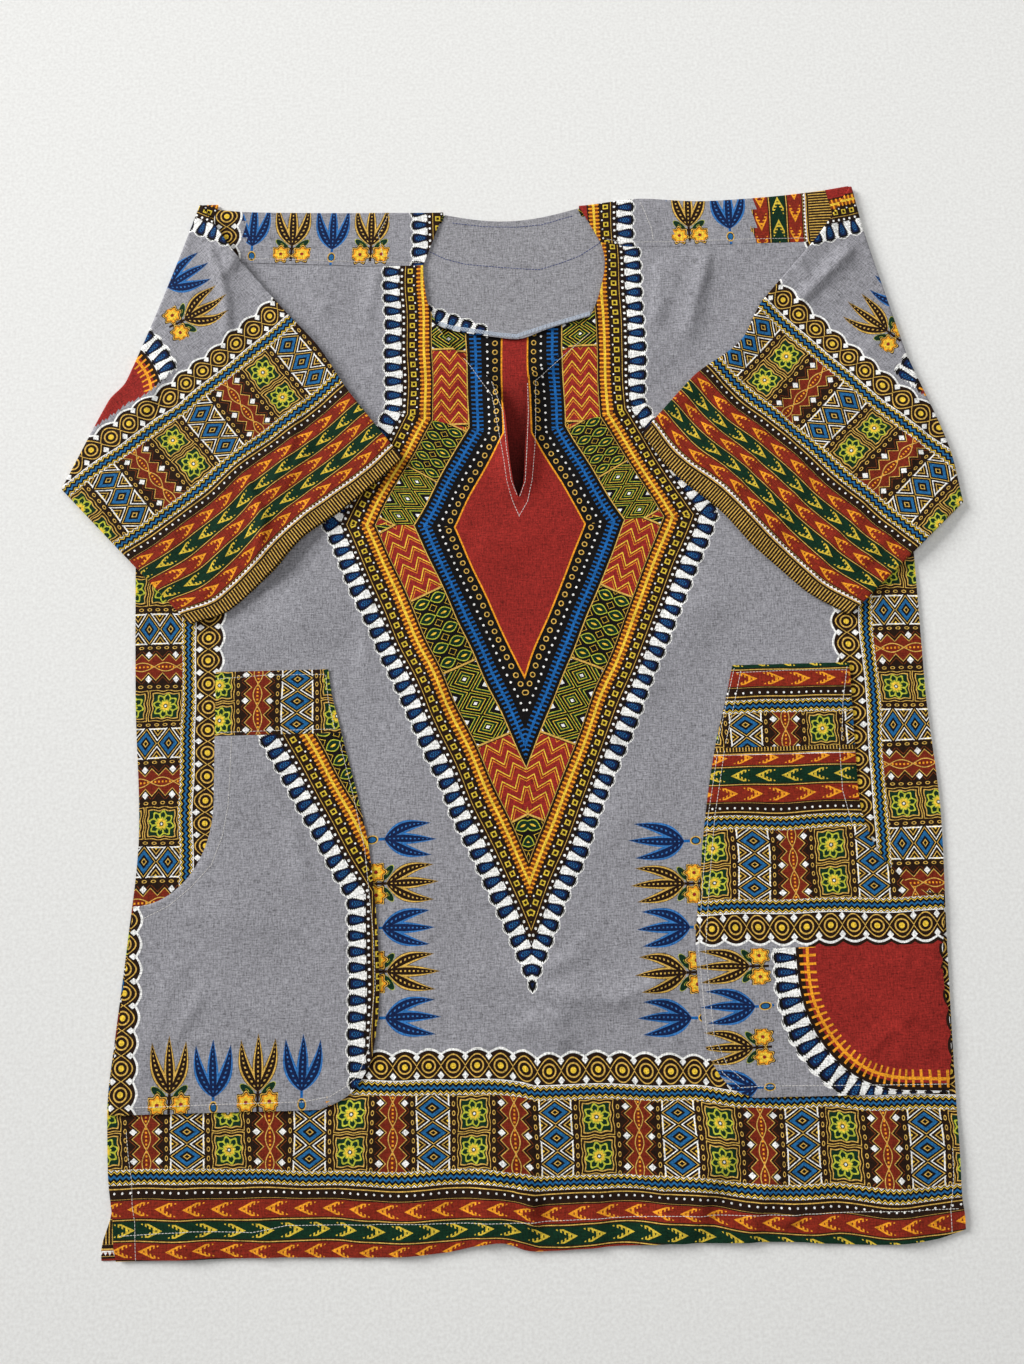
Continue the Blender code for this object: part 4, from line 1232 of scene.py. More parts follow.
def fan_leaves(x, ax, up):
    """0 at the vein of the nearest of a fan's three leaves and 1 at its outline."""
    middle = leaf_shape(x, up, 40.0, 4.2)
    side_x = ax * math.cos(FAN_LEAN) - up * math.sin(FAN_LEAN)
    side_y = ax * math.sin(FAN_LEAN) + up * math.cos(FAN_LEAN)
    bow = side_x - (side_y * (math.pi / 38.0)).sine() * 3.4
    side = higher(leaf_shape(bow, side_y, 38.0, 4.6), 9.0 * (side_y < 0.0))
    return lower_of(middle, side)


def foot_leaves(colour, ax, q, gold_one):
    """Two green leaves at the foot of a gold fan."""
    x, y = ax - 7.6, q - 16.2
    run = x * WING_LEAN[0] + y * WING_LEAN[1]
    off = y * WING_LEAN[0] - x * WING_LEAN[1]
    wing = product_and(run * run, 0.022, off * off * 0.13)
    wings = bands(wing, 0.0, 2.0, (0.0, LIME), (0.06, GREEN), (0.86, LIME))
    return paint(colour, wings, (wing < 1.0) & gold_one)


def daisies(colour, ax, q, gold_one):
    """Two daisies of seven petals at the foot of a gold fan."""
    x, y = ax - 8.4, q - 7.8
    radius = hypot(x, y)
    petals = (calc("ARCTAN2", y, x) * 7.0).sine()
    flower = radius * product_and(petals, 0.15, 1.0)
    daisy = bands(flower, 0.0, 10.0,
        (0.0, RED), (1.4, YELLOW), (4.2, ORANGE), (5.6, BROWN), (6.3, GOLD), (7.1, BROWN),
    )
    return paint(colour, daisy, (flower < 7.9) & gold_one)


def buds(colour, x, q, gold_one):
    """A bud at the foot of a blue fan."""
    bud = product_and(x * x, 0.10, (q - 5.0) * (q - 5.0) * 0.05)
    inks = bands(bud, 0.0, 2.0, (0.0, TEAL), (0.35, BROWN), (0.62, GOLD))
    return paint(colour, inks, (bud < 1.0) & (gold_one < 0.5))


def sprigs(p, q, ground):
    index = (p / SPRIG_PITCH).floor()
    gold_one = index.wrap(2.0)
    x = p.wrap(SPRIG_PITCH) - SPRIG_PITCH / 2
    ax = abs(x)
    up = q - FAN_FOOT - (index * 2.3).sine() * 1.8
    leaf = fan_leaves(x, ax, up)
    blue = bands(leaf, 0.0, 2.0, (0.0, NAVY), (0.66, SKY), (0.92, BLUE))
    gold = bands(leaf, 0.0, 2.0, (0.0, BROWN), (0.62, GOLD), (0.90, BROWN))
    vein = (leaf < 0.14) & (up.wrap(3.2) < 1.3) & (up > 3.0)
    fan = paint(paint(blue, gold, gold_one), paint(SKY, GOLD, gold_one), vein)
    stem = (ax < 1.0) & up.near(-5.0, 9.0)
    colour = paint(ground, paint(BLUE, BROWN, gold_one), stem)
    colour = daisies(foot_leaves(colour, ax, q, gold_one), ax, q, gold_one)
    colour = paint(buds(colour, x, q, gold_one), fan, leaf < 1.0)
    return paint(ground, colour, ax < SPRIG_PITCH / 2 - 1.1)


# --- The materials --------------------------------------------------------------------------------

POCKET_TRIM_LOW = Line((-139.0, 99.0), (-139.0, 247.0))
POCKET_TRIM_HIGH = Line((-139.0, 247.0), (-207.0, 370.0))


def pocket_trim(x, y, ground):
    s1, d1 = beside(x, y, POCKET_TRIM_LOW)
    s2, d2 = beside(x, y, POCKET_TRIM_HIGH)
    s = pick(s1, s2, d2 > d1)
    return trim(s, higher(d1, d2), ground, (s / PANEL_LENGTH).wrap(1.0) + 1.0)


PRINTS = {
    "border": border,
    "border_on_red": border_on_red,
    "inner_side": inner_side,
    "medallion": medallion,
    "quarter": quarter,
    "neck_trim": trim,
    "pocket_trim": pocket_trim,
    "sprigs": sprigs,
}


def make_materials():
    made = {}
    for name, print_it in PRINTS.items():
        net = Net("printed_cotton_" + name)
        first, second, _ = net.place("Motif")
        made[name] = net.finish(print_it(first, second, GREY))
    made["ground"] = Net("printed_cotton_ground").finish(GREY)
    made["facing"] = Net("plain_cotton_facing").finish(FACING_GREY)
    return made


# --- Where each print lies ------------------------------------------------------------------------

HEM_BORDER_TOP = 140.0
SCALLOP_ROOM = 5.0
SIDE_BORDER_LEFT = -233.0
SIDE_BORDER_RIGHT = 238.5
STRIP_LOW = 740.0
STRIP_TRIM_LEFT = 85.0
STRIP_TRIM_RIGHT = 100.0
STRIP_BORDER_RIGHT = 196.0
STRIP_BORDER_DEPTH = 130.0  # how far across the border the print starts
STRIP_ROPE_LEFT = -224.0
SLIVER_START = 296.0
SLIVER_DEPTH = 7.0
BACK_CORNER_PATCH = 27.0
BACK_CORNER_LEFT = -300.0
BACK_CORNER_DEPTH = 169.0
BACK_CORNER_SLOPE = 0.6
# The strips' own print starts above this, and below it the back's underside is mirrored about it.
STRIP_PRINT_LOW = 739.0
INNER_HALF = 30.0
INNER_BELOW = 7.0

# How far the hem's print stands above or below its place at the left, as the cloth was cut.
HEM_PRINT = (
    (-302, 3.0), (-200, 1.0), (-81, -3.0), (-52, -3.0), (-12, -6.0), (0, -8.7), (34, -8.1), (66, -9.5),
    (112, -12.0), (150, -17.3), (186, -19.0), (207, -18.5), (250, -22.5), (302, -22.9),
)
HEM_PRINT_FOLLOWS = 0.5

FRONT_SPRIGS_LEFT = Line((-124.0, 306.0), (-124.0, 146.0))
FRONT_SPRIGS_RIGHT = Line((128.0, 140.0), (128.0, 300.0))
STRIP_SPRIGS_LEFT = Line((-229.0, 757.0), (-101.0, 750.0))
STRIP_SPRIGS_RIGHT = Line((128.0, 762.0), (192.0, 763.0))
POCKET_SPRIGS_LEFT = Line((-282.0, 98.0), (-154.0, 98.0))
POCKET_SPRIGS_RIGHT = Line((172.5, 92.0), (172.5, 206.0))
POCKET_SPRIG_PITCH = 28.5
SLEEVE_SPRIGS_LEFT = Line((-304.8, 745.8), (-277.9, 687.8))
SLEEVE_SPRIGS_RIGHT = Line((300.4, 660.0), (342.6, 708.0))
SPRIG_BELOW = 4.0

# The pockets' prints: where each starts or ends, and where the border's own measure is met.
POCKET_ROPE_EDGE, POCKET_ROPE_START, POCKET_ROPE_TOP = -285.0, -291.0, 250.0
LEFT_BAND_ALONG, LEFT_BAND_ACROSS = 10.0, -340.0
RIGHT_TOP_PRINT, RIGHT_TOP_ACROSS = 345.0, -174.0
RIGHT_SIDE_PRINT, RIGHT_SIDE_TOP, RIGHT_SIDE_START = 298.0, 204.0, 303.0
RIGHT_UPPER_PRINT, RIGHT_UPPER_RED, RIGHT_UPPER_START = 203.6, 201.0, 208.5
RIGHT_BAND_ACROSS = -296.0
ROUND_CENTRE = (273.0, 181.0)
ROUND_REACH = 100.0
ROUND_MIDDLE = 88.0
TRIM_ROOM = 1.0
FACING_PATCH = Line((-74.0, 719.0), (-22.0, 696.0))
FACING_PATCH_END = -22.0

# On the sleeves small wrinkles take up some of the border's rows, from this far above the cuff.
SLEEVE_BORDER = 171.0
SLEEVE_ROWS = 14.0
SLEEVE_ROWS_TOP = 70.0
SleevePrint = namedtuple("SleevePrint", "top_trim arc_x arc_y arc_reach sprigs first_sprig")
SLEEVE_PRINTS = {
    "sleeve_left_cloth": SleevePrint(
        Line((-222.0, 759.0), (-262.0, 779.0)), -364.0, 630.0, 98.0, SLEEVE_SPRIGS_LEFT, 0
    ),
    "sleeve_right_cloth": SleevePrint(
        Line((287.0, 765.0), (236.0, 752.0)), 384.5, 596.6, 98.0, SLEEVE_SPRIGS_RIGHT, 1
    ),
}


def hem_print(x):
    return read(HEM_PRINT, x)


def always(x, y):
    return True


def as_is(x, y):
    return [x, y]


def x_of(x, y):
    return x


def y_of(x, y):
    return y


def box_zone(material, place, left=-math.inf, right=math.inf, low=-math.inf, high=math.inf):
    return Zone(material, lambda x, y: left < x < right and low < y < high, place)


def edged(material, depth, run, where=always):
    """A print with a scalloped edge: depth is how far inside the edge a place is, and run how far along."""
    return Zone(
        material,
        lambda x, y: where(x, y) and depth(x, y) > -SCALLOP_ROOM,
        lambda x, y: [run(x, y), depth(x, y)],
    )


def sprig_zone(materials, line, fans, first=0, pitch=SPRIG_PITCH):
    """A row of sprigs that stands on the left of a line, as long as a number of whole fans."""

    def holds(x, y):
        return 0 < along(line, x, y) < fans * pitch and -SPRIG_BELOW < -right_of(line, x, y) < SPRIG_HEIGHT

    def place(x, y):
        return [(along(line, x, y) / pitch + first) * SPRIG_PITCH, -right_of(line, x, y)]

    return Zone(materials["sprigs"], holds, place)


def front_zones(materials):
    """Which material each place of the front has, and how the print lies there."""
    border_cloth = materials["border"]
    return [
        box_zone(border_cloth, lambda x, y: [y, x - SLIVER_START + SLIVER_DEPTH], left=SLIVER_START,
                 low=POCKET_BOTTOM, high=POCKET_RIGHT.mouth_low),
        edged(border_cloth, lambda x, y: HEM_BORDER_TOP + hem_print(x) - y, x_of),
        edged(border_cloth, lambda x, y: SIDE_BORDER_LEFT - x, y_of),
        edged(border_cloth, lambda x, y: x - SIDE_BORDER_RIGHT, y_of),
        Zone(materials["medallion"], lambda x, y: medallion_inside(x, y) > -SCALLOP_ROOM, as_is),
        sprig_zone(materials, FRONT_SPRIGS_LEFT, 5),
        sprig_zone(materials, FRONT_SPRIGS_RIGHT, 5),
        box_zone(materials["ground"], as_is),
    ]


def back_zones(materials):
    """The same for the back and its strips. The first zone, the print with painted shade under the slit, lies on its
    inner side alone.
    """

    def trim_beside(way, edge):
        return edged(materials["neck_trim"], lambda x, y: edge - x * way, y_of,
                     lambda x, y: y > STRIP_LOW and x * way > 0)

    return [
        # The back's inner side under the slit, with painted shade towards the slit's foot.
        box_zone(materials["inner_side"], as_is, left=-INNER_HALF, right=INNER_HALF,
                 low=PAINTED_SHADE_FOOT - INNER_BELOW, high=PAINTED_SHADE_TOP),
        box_zone(materials["border"], lambda x, y: [x, BACK_CORNER_DEPTH + y * BACK_CORNER_SLOPE],
                 right=BACK_CORNER_LEFT, high=BACK_CORNER_PATCH),
        edged(materials["border"], lambda x, y: STRIP_ROPE_LEFT - x, y_of, lambda x, y: y > STRIP_LOW),
        box_zone(materials["border"], lambda x, y: [y, STRIP_BORDER_DEPTH + (x - STRIP_BORDER_RIGHT)],
                 left=STRIP_BORDER_RIGHT, low=STRIP_LOW),
        trim_beside(-1, STRIP_TRIM_LEFT),
        trim_beside(1, STRIP_TRIM_RIGHT),
        sprig_zone(materials, STRIP_SPRIGS_LEFT, 4),
        sprig_zone(materials, STRIP_SPRIGS_RIGHT, 2, 1),
        box_zone(materials["ground"], as_is, low=STRIP_LOW),
        *front_zones(materials),
    ]


def round_away(x, y):
    """How far a place is from the middle of the right pocket's rounded corner."""
    return math.hypot(max(ROUND_CENTRE[0] - x, 0.0), max(ROUND_CENTRE[1] - y, 0.0))


def round_along(x, y):
    """How far along that corner's trim a place is."""
    dx, dy = ROUND_CENTRE[0] - x, ROUND_CENTRE[1] - y
    if dy < 0:
        return dy
    if dx < 0:
        return ROUND_MIDDLE * math.pi / 2 - dx
    return math.atan2(dy, dx) * ROUND_MIDDLE


def pocket_zones(materials):
    """The zones of the left pocket, its band, the right pocket and its band."""
    border_cloth, red_cloth = materials["border"], materials["border_on_red"]
    ground = box_zone(materials["ground"], as_is)

    def trim_depth(x, y):
        return max(right_of(POCKET_TRIM_LOW, x, y), right_of(POCKET_TRIM_HIGH, x, y))

    def upper_place(x, y):
        return [-x, y - RIGHT_UPPER_START]

    left = [
        box_zone(border_cloth, lambda x, y: [y, POCKET_ROPE_START - x], right=POCKET_ROPE_EDGE,
                 high=POCKET_ROPE_TOP),
        Zone(materials["pocket_trim"], lambda x, y: trim_depth(x, y) > -SCALLOP_ROOM, as_is),
        sprig_zone(materials, POCKET_SPRIGS_LEFT, 4, 1),
        ground,
    ]
    left_band = [box_zone(border_cloth, lambda x, y: [x + LEFT_BAND_ALONG, y + LEFT_BAND_ACROSS])]
    right = [
        box_zone(border_cloth, lambda x, y: [-x, y + RIGHT_TOP_ACROSS], low=RIGHT_TOP_PRINT),
        box_zone(red_cloth, lambda x, y: [y, x - RIGHT_SIDE_START], left=RIGHT_SIDE_PRINT,
                 high=RIGHT_SIDE_TOP),
        box_zone(red_cloth, upper_place, left=RIGHT_UPPER_RED, low=RIGHT_UPPER_PRINT),
        box_zone(border_cloth, upper_place, low=RIGHT_UPPER_PRINT),
        Zone(
            materials["quarter"],
            lambda x, y: round_away(x, y) < ROUND_REACH + TRIM_ROOM,
            lambda x, y: [round_along(x, y), ROUND_REACH - round_away(x, y)],
        ),
        sprig_zone(materials, POCKET_SPRIGS_RIGHT, 4, 0, POCKET_SPRIG_PITCH),
        ground,
    ]
    right_band = [box_zone(border_cloth, lambda x, y: [-x, y + RIGHT_BAND_ACROSS])]
    return left, left_band, right, right_band


def line_trim(material, line, where=always):
    """A patch of trim on the right of a line."""
    return Zone(
        material,
        lambda x, y: where(x, y) and right_of(line, x, y) > -TRIM_ROOM,
        lambda x, y: [along(line, x, y), right_of(line, x, y)],
    )


def facing_zones(materials):
    patch = line_trim(materials["neck_trim"], FACING_PATCH, lambda x, y: x < FACING_PATCH_END)
    return [patch, box_zone(materials["facing"], as_is)]


def sleeve_depth(v):
    """How far across the border a place v above the cuff lies."""
    outside = min(v, SLEEVE_ROWS)
    rows = min(max(v - SLEEVE_ROWS, 0.0), SLEEVE_ROWS_TOP - SLEEVE_ROWS)
    rest = max(v - SLEEVE_ROWS_TOP, 0.0)
    gather = ROW_HEIGHT * CHEVRON_ROWS / (SLEEVE_ROWS_TOP - SLEEVE_ROWS)
    return BORDER_WIDTH - outside - rows * gather - rest


def sleeve_zones(materials, name, shown):
    """The border by the cuff, and pieces of trim and sprigs placed as the folded sleeve shows them."""
    on = SLEEVE_PRINTS[name]

    def folded(zone):
        return Zone(
            zone.material,
            lambda s, v: zone.holds(*shown(s, v)),
            lambda s, v: zone.place(*shown(s, v)),
        )

    def arc_off(x, y):
        return math.hypot(x - on.arc_x, y - on.arc_y)

    def arc_place(x, y):
        return [math.atan2(y - on.arc_y, abs(x - on.arc_x)) * ROUND_MIDDLE, on.arc_reach - arc_off(x, y)]

    return [
        Zone(
            materials["border"],
            lambda s, v: v < SLEEVE_BORDER + SCALLOP_ROOM,
            lambda s, v: [s, sleeve_depth(v)],
        ),
        folded(line_trim(materials["neck_trim"], on.top_trim)),
        folded(Zone(materials["quarter"], lambda x, y: arc_off(x, y) < on.arc_reach + TRIM_ROOM, arc_place)),
        folded(sprig_zone(materials, on.sprigs, 2, on.first_sprig)),
        box_zone(materials["ground"], as_is),
    ]


# --- The front ------------------------------------------------------------------------------------

SEAM_TOP = max(rise for _, rise in SHOULDER_SEAM)


def front_point(side, row_up, part):
    """The corners of the shell at one place, and its place in the print."""
    x = mix(side_edge(side, row_up), neck_edge(side, row_up), part)
    seam = read(SHOULDER_SEAM, x) - GAP / 2
    shift = hem_shift(x, row_up)
    y = row_up + (seam - SEAM_TOP) * smooth_step((row_up - SLIT_TOP) / (SEAM_TOP - SLIT_TOP)) + shift
    x = mix(side_edge(side, y), neck_edge(side, y), part)
    height = FRONT_LAYER + relief(x, y) + fine_relief(x, y) + neck_lift(x, y) + hem_form(row_up)
    return laid(x, y, height), (x, y - shift * HEM_PRINT_FOLLOWS)


def make_front(zones):
    rows = levels(0, HEM_FINE_HEIGHT, HEM_FINE_STEP)
    for low, high in ((HEM_FINE_HEIGHT, SLIT_TIP), (SLIT_TIP, SLIT_TOP), (SLIT_TOP, SEAM_TOP)):
        rows += levels(low, high, ROW_STEP)[1:]
    points, prints, cells = {}, {}, []

    def key(side, r, c):
        joined = c == FRONT_COLUMNS and rows[r] <= SLIT_TIP
        return ("middle", r) if joined else (side, r, c)

    for side in SIDES:
        for r, up in enumerate(rows):
            for c in range(FRONT_COLUMNS + 1):
                k = key(side, r, c)
                points[k], prints[k] = front_point(side, up, c / FRONT_COLUMNS)
        for corners in grid_cells(len(rows) - 1, FRONT_COLUMNS):
            cell = tuple(key(side, r, c) for r, c in corners)
            cells.append(cell if side == "left" else cell[::-1])
    return cloth("front_cloth", points, prints, cells, zones)


# --- The back, with its shoulder strips -----------------------------------------------------------


def back_side(side, up):
    out = BACK_CORNER_OUT * (1 - smooth_step(up / BACK_CORNER_HEIGHT)) if side == "left" else 0.0
    return side_edge(side, up) - out


def back_column(column, up):
    if column < BACK_SIDE_COLUMNS:
        return mix(back_side("left", up), STRIP_NECK_LEFT, column / BACK_SIDE_COLUMNS)
    column -= BACK_SIDE_COLUMNS
    if column < BACK_NECK_COLUMNS:
        return mix(STRIP_NECK_LEFT, STRIP_NECK_RIGHT, column / BACK_NECK_COLUMNS)
    column -= BACK_NECK_COLUMNS
    return mix(STRIP_NECK_RIGHT, back_side("right", up), column / BACK_SIDE_COLUMNS)


def fold_radius(x):
    fold = read(SHOULDER_FOLD, x)
    return (LAYER + relief(x, fold)) / 2


def back_top(x):
    between = (x - STRIP_NECK_LEFT) / (STRIP_NECK_RIGHT - STRIP_NECK_LEFT)
    dip = BACK_NECK_DIP * math.sin(math.pi * between) if 0 < between < 1 else 0.0
    return read(SHOULDER_FOLD, x) - fold_radius(x) - WALL / 2 - dip


def back_point(column, up):
    stretch = smooth_step((up - UNDERARM) / (ARMHOLE_TOP - UNDERARM))
    y = up + (back_top(back_column(column, up)) - ARMHOLE_TOP) * stretch
    x = back_column(column, y)
    return x, y + hem_shift(x, up)


def strip_point(column, step):
    """The inner and outer corner of a strip, first round the shoulder fold and then to its seam."""
    fold_x, start = back_point(column, ARMHOLE_TOP)
    if step <= TURN_STEPS:
        radius, angle = fold_radius(fold_x), math.pi * step / TURN_STEPS
        x, y = fold_x, start + radius * math.sin(angle)
        height = WALL / 2 + radius * (1 - math.cos(angle))
        away_y, away_z = math.sin(angle), -math.cos(angle)
    else:
        part = (step - TURN_STEPS) / STRIP_STEPS
        left = column <= BACK_SIDE_COLUMNS
        side = "left" if left else "right"
        inner = (BACK_SIDE_COLUMNS - column) if left else (column - BACK_SIDE_COLUMNS - BACK_NECK_COLUMNS)
        seam = read(SHOULDER_SEAM, fold_x) + GAP / 2
        seam_x = mix(neck_edge(side, seam), side_edge(side, seam), inner / BACK_SIDE_COLUMNS)
        x, y = mix(fold_x, seam_x, part), mix(start, read(SHOULDER_SEAM, seam_x) + GAP / 2, part)
        grown = smooth_step(part * STRIP_GROWTH) * fine_relief(x, y)
        height = FRONT_LAYER + WALL / 2 + relief(x, y) + grown
        away_y, away_z = 0.0, 1.0
    half = WALL / 2
    inside = (x, y - away_y * half, height - away_z * half)
    return inside, (x, y + away_y * half, height + away_z * half)


def make_back(zones):
    columns = 2 * BACK_SIDE_COLUMNS + BACK_NECK_COLUMNS
    rows = levels(0, HEM_FADE, BACK_ROW_STEP)
    for low, high in ((HEM_FADE, UNDERARM), (UNDERARM, ARMHOLE_TOP)):
        rows += levels(low, high, BACK_ROW_STEP)[1:]
    last = len(rows) - 1

    def place(r, c):
        x, y = back_point(c, rows[r])
        return ((x, y, WALL), (x, y, 0.0)), (x, STRIP_PRINT_LOW - abs(y - STRIP_PRINT_LOW))

    points, prints, cells = grid(last, columns, place)
    for strip in (range(BACK_SIDE_COLUMNS), range(BACK_SIDE_COLUMNS + BACK_NECK_COLUMNS, columns)):
        for step in range(1, TURN_STEPS + STRIP_STEPS + 1):
            r = last + step
            for c in (*strip, strip[-1] + 1):
                points[r, c] = strip_point(c, step)
                prints[r, c] = points[r, c][1][:2]
            cells += [((r - 1, c), (r - 1, c + 1), (r, c + 1), (r, c)) for c in strip]
    return cloth("back_cloth", points, prints, cells, zones, inner_only=1)


# --- The back neck facing -------------------------------------------------------------------------


def facing_point(r, c):
    part = r / FACING_ROWS
    taper = FACING_TOP_TAPER * part * part
    low = read(FACING_LOWER, mix(FACING_LEFT, FACING_RIGHT, c / FACING_COLUMNS))
    x = mix(FACING_LEFT + taper, FACING_RIGHT - taper, c / FACING_COLUMNS)
    in_neck = STRIP_NECK_LEFT <= x <= STRIP_NECK_RIGHT
    y = mix(low, back_top(x) - (GAP if in_neck else FACING_UNDER_FOLD), part)
    return laid(x, y, FRONT_LAYER), (x, y)


# --- Pockets --------------------------------------------------------------------------------------


def pocket_outer(pocket, up):
    """The edge towards the side seam, with the curved mouth above it."""
    clear = POCKET_SIDE_CLEAR
    if pocket.side == "right":
        clear = -POCKET_SIDE_CLEAR - read(POCKET_RIGHT_INSET, up)
    if up <= pocket.mouth_low:
        return side_edge(pocket.side, up) + clear
    start = side_edge(pocket.side, pocket.mouth_low) + clear
    angle = math.acos(1 - min((up - pocket.mouth_low) / pocket.mouth_radius, 1.0))
    return mix(start, pocket.mouth_edge, math.sin(angle))


def lay_rows(name, pocket, rows, zones):
    """A pocket or its band, from rows at these heights."""

    def place(r, c):
        up = rows[r]
        outer, inner = pocket_outer(pocket, up), read(pocket.inner, up)
        x = mix(outer, inner, c / POCKET_COLUMNS)
        edge = min(abs(x - outer), abs(x - inner), up - POCKET_BOTTOM, pocket.band_high - up)
        droop = POCKET_DROOP * (1 - smooth_step(edge / POCKET_DROOP_LENGTH))
        creases = ridges(x, up, POCKET_CREASES) * CREASE_GAIN
        creases += bent_ridges(x, up, POCKET_BENDS) + rumple(x, up, POCKET_RUMPLE)
        lift = creases * (1 - sleeve_cover(x, up)) - droop
        return laid(x, up, POCKET_LAYER + relief(x, up) + lift), (x, up)

    return cloth(name, *grid(len(rows) - 1, POCKET_COLUMNS, place), zones)


def make_pocket(pocket, zones, band_zones):
    rows = levels(POCKET_BOTTOM, pocket.mouth_low, POCKET_STEP)
    for i in range(1, MOUTH_STEPS + 1):
        turn = math.pi / 2 * i / MOUTH_STEPS
        rows.append(pocket.mouth_low + pocket.mouth_radius * (1 - math.cos(turn)))
    rows += levels(rows[-1], pocket.band_low - GAP / 2, POCKET_STEP)[1:]
    band_rows = levels(pocket.band_low + GAP / 2, pocket.band_high, POCKET_STEP)
    name = "pocket_" + pocket.side
    body = lay_rows(name + "_cloth", pocket, rows, zones)
    return body, lay_rows(name + "_band_cloth", pocket, band_rows, band_zones)


# --- Sleeves --------------------------------------------------------------------------------------


class FoldLine:
    """The diagonal that a sleeve is folded about, with the sleeve's far end on its outer side."""

    def __init__(self, sleeve):
        self.start = sleeve.fold_top
        self.length, ax, ay = direction(sleeve.fold_top, sleeve.fold_under)
        self.along = (ax, ay)
        outward = -1 if -ay * self.start[0] < 0 else 1
        self.out = (-ay * outward, ax * outward)

    def measure(self, point):
        dx, dy = point[0] - self.start[0], point[1] - self.start[1]
        return dx * self.along[0] + dy * self.along[1], dx * self.out[0] + dy * self.out[1]

    def place(self, along, out):
        return tuple(self.start[i] + along * self.along[i] + out * self.out[i] for i in range(2))

    def unfold(self, point):
        along, out = self.measure(point)
        return self.place(along, SLEEVE_TURN_LENGTH - out)

    def crossing(self, p, q, out):
        first, second = self.measure(p)[1], self.measure(q)[1]
        return mix_points(p, q, (out - first) / (second - first))


def eased(p, q, part, table, middle):
    """A place between p and q that bows away from the middle by what the table says."""
    x, y = mix_points(p, q, part)
    _, tx, ty = direction(p, q)
    nx, ny = ty, -tx
    if nx * (x - middle[0]) + ny * (y - middle[1]) < 0:
        nx, ny = -nx, -ny
    out = read(table, part)
    return x + nx * out, y + ny * out


# A line across a sleeve from its top edge to the underarm edge: how far along the folded part it is,
# and how much it follows the fold's ease.
Station = namedtuple("Station", "top under part follow")


def sleeve_stations(sleeve, line):
    """The lines across a sleeve laid out flat, from its armhole to the cuff."""
    cuff_top, cuff_under = line.unfold(sleeve.cuff_top), line.unfold(sleeve.cuff_under)
    away = GAP if line.out[0] > 0 else -GAP
    start_top = (sleeve.armhole_top[0] + away, sleeve.armhole_top[1])
    start_under = (sleeve.armhole_under[0] + away, sleeve.armhole_under[1])
    stations = []
    for i in range(SLEEVE_INNER_STEPS):
        part = i / SLEEVE_INNER_STEPS
        top = mix_points(start_top, sleeve.fold_top, part)
        stations.append(Station(top, mix_points(start_under, sleeve.fold_under, part), 0.0, part))
    for i in range(TURN_STEPS + 1):
        out = SLEEVE_TURN_LENGTH * i / TURN_STEPS
        top = line.crossing(sleeve.fold_top, cuff_top, out)
        under = line.crossing(sleeve.fold_under, cuff_under, out)
        stations.append(Station(top, under, 0.0, 1.0))
    middle = mix_points(mix_points(top, cuff_top, 0.5), mix_points(under, cuff_under, 0.5), 0.5)
    for i in range(1, SLEEVE_OUTER_STEPS + 1):
        part = i / SLEEVE_OUTER_STEPS
        outer_top = eased(top, cuff_top, part, sleeve.top_ease, middle)
        stations.append(Station(outer_top, mix_points(under, cuff_under, part), part, (1 - part) ** 2))
    return stations


def sleeve_loop(station, sleeve, centre):
    """One loop of the tube: (x, y, height, outward direction, place across, place in the print)."""
    top, under, part = station.top, station.under, station.part
    _, edge_x, edge_y = direction(under, top)
    radius = LAYER / 2
    loop = []
    for upper in (False, True):
        for i in range(SLEEVE_ACROSS_STEPS + 1):
            across = i / SLEEVE_ACROSS_STEPS if upper else 1 - i / SLEEVE_ACROSS_STEPS
            x, y = plain = mix_points(top, under, across)
            if part > 0:
                ex, ey = eased(top, under, across, sleeve.cuff_ease, centre)
                x, y = mix(x, ex, part**2), mix(y, ey, part**2)
            height = WALL / 2 + (LAYER if upper else 0.0)
            loop.append((x, y, height, (0.0, 0.0, 1.0 if upper else -1.0), across, plain))
        end, way = (under, -1.0) if upper else (top, 1.0)
        for i in range(1, SLEEVE_ROUND_STEPS):
            angle = math.pi * i / SLEEVE_ROUND_STEPS
            if upper:
                angle = math.pi - angle
            away = (edge_x * way * math.sin(angle), edge_y * way * math.sin(angle), -math.cos(angle))
            x, y = end[0] + away[0] * radius, end[1] + away[1] * radius
            height = WALL / 2 + radius + away[2] * radius
            loop.append((x, y, height, away, 1.0 if upper else 0.0, end))
    return loop


def fold_over(line, sleeve, point, height, follow):
    """Where a place of the flat sleeve lies once it is turned over the fold."""
    along, out = line.measure(point)
    radius = SLEEVE_TURN - height
    if out <= 0:
        shift, z = out, height
    elif out < SLEEVE_TURN_LENGTH:
        angle = math.pi * out / SLEEVE_TURN_LENGTH
        shift, z = radius * math.sin(angle), SLEEVE_TURN - radius * math.cos(angle)
    else:
        shift, z = SLEEVE_TURN_LENGTH - out, SLEEVE_TURN + radius
    x, y = line.place(along, shift + read(sleeve.fold_ease, along / line.length) * follow)
    return x, y, z


def edge_lift(across, station):
    """How far a folded sleeve's top edge springs up from the front; the underarm edge lies closer."""
    width = math.dist(station.top, station.under)
    top = math.exp(-((across * width / EDGE_LIFT_WIDTH) ** 2))
    return EDGE_LIFT * (top + UNDERARM_LIFT * math.exp(-(((1 - across) * width / EDGE_LIFT_WIDTH) ** 2)))


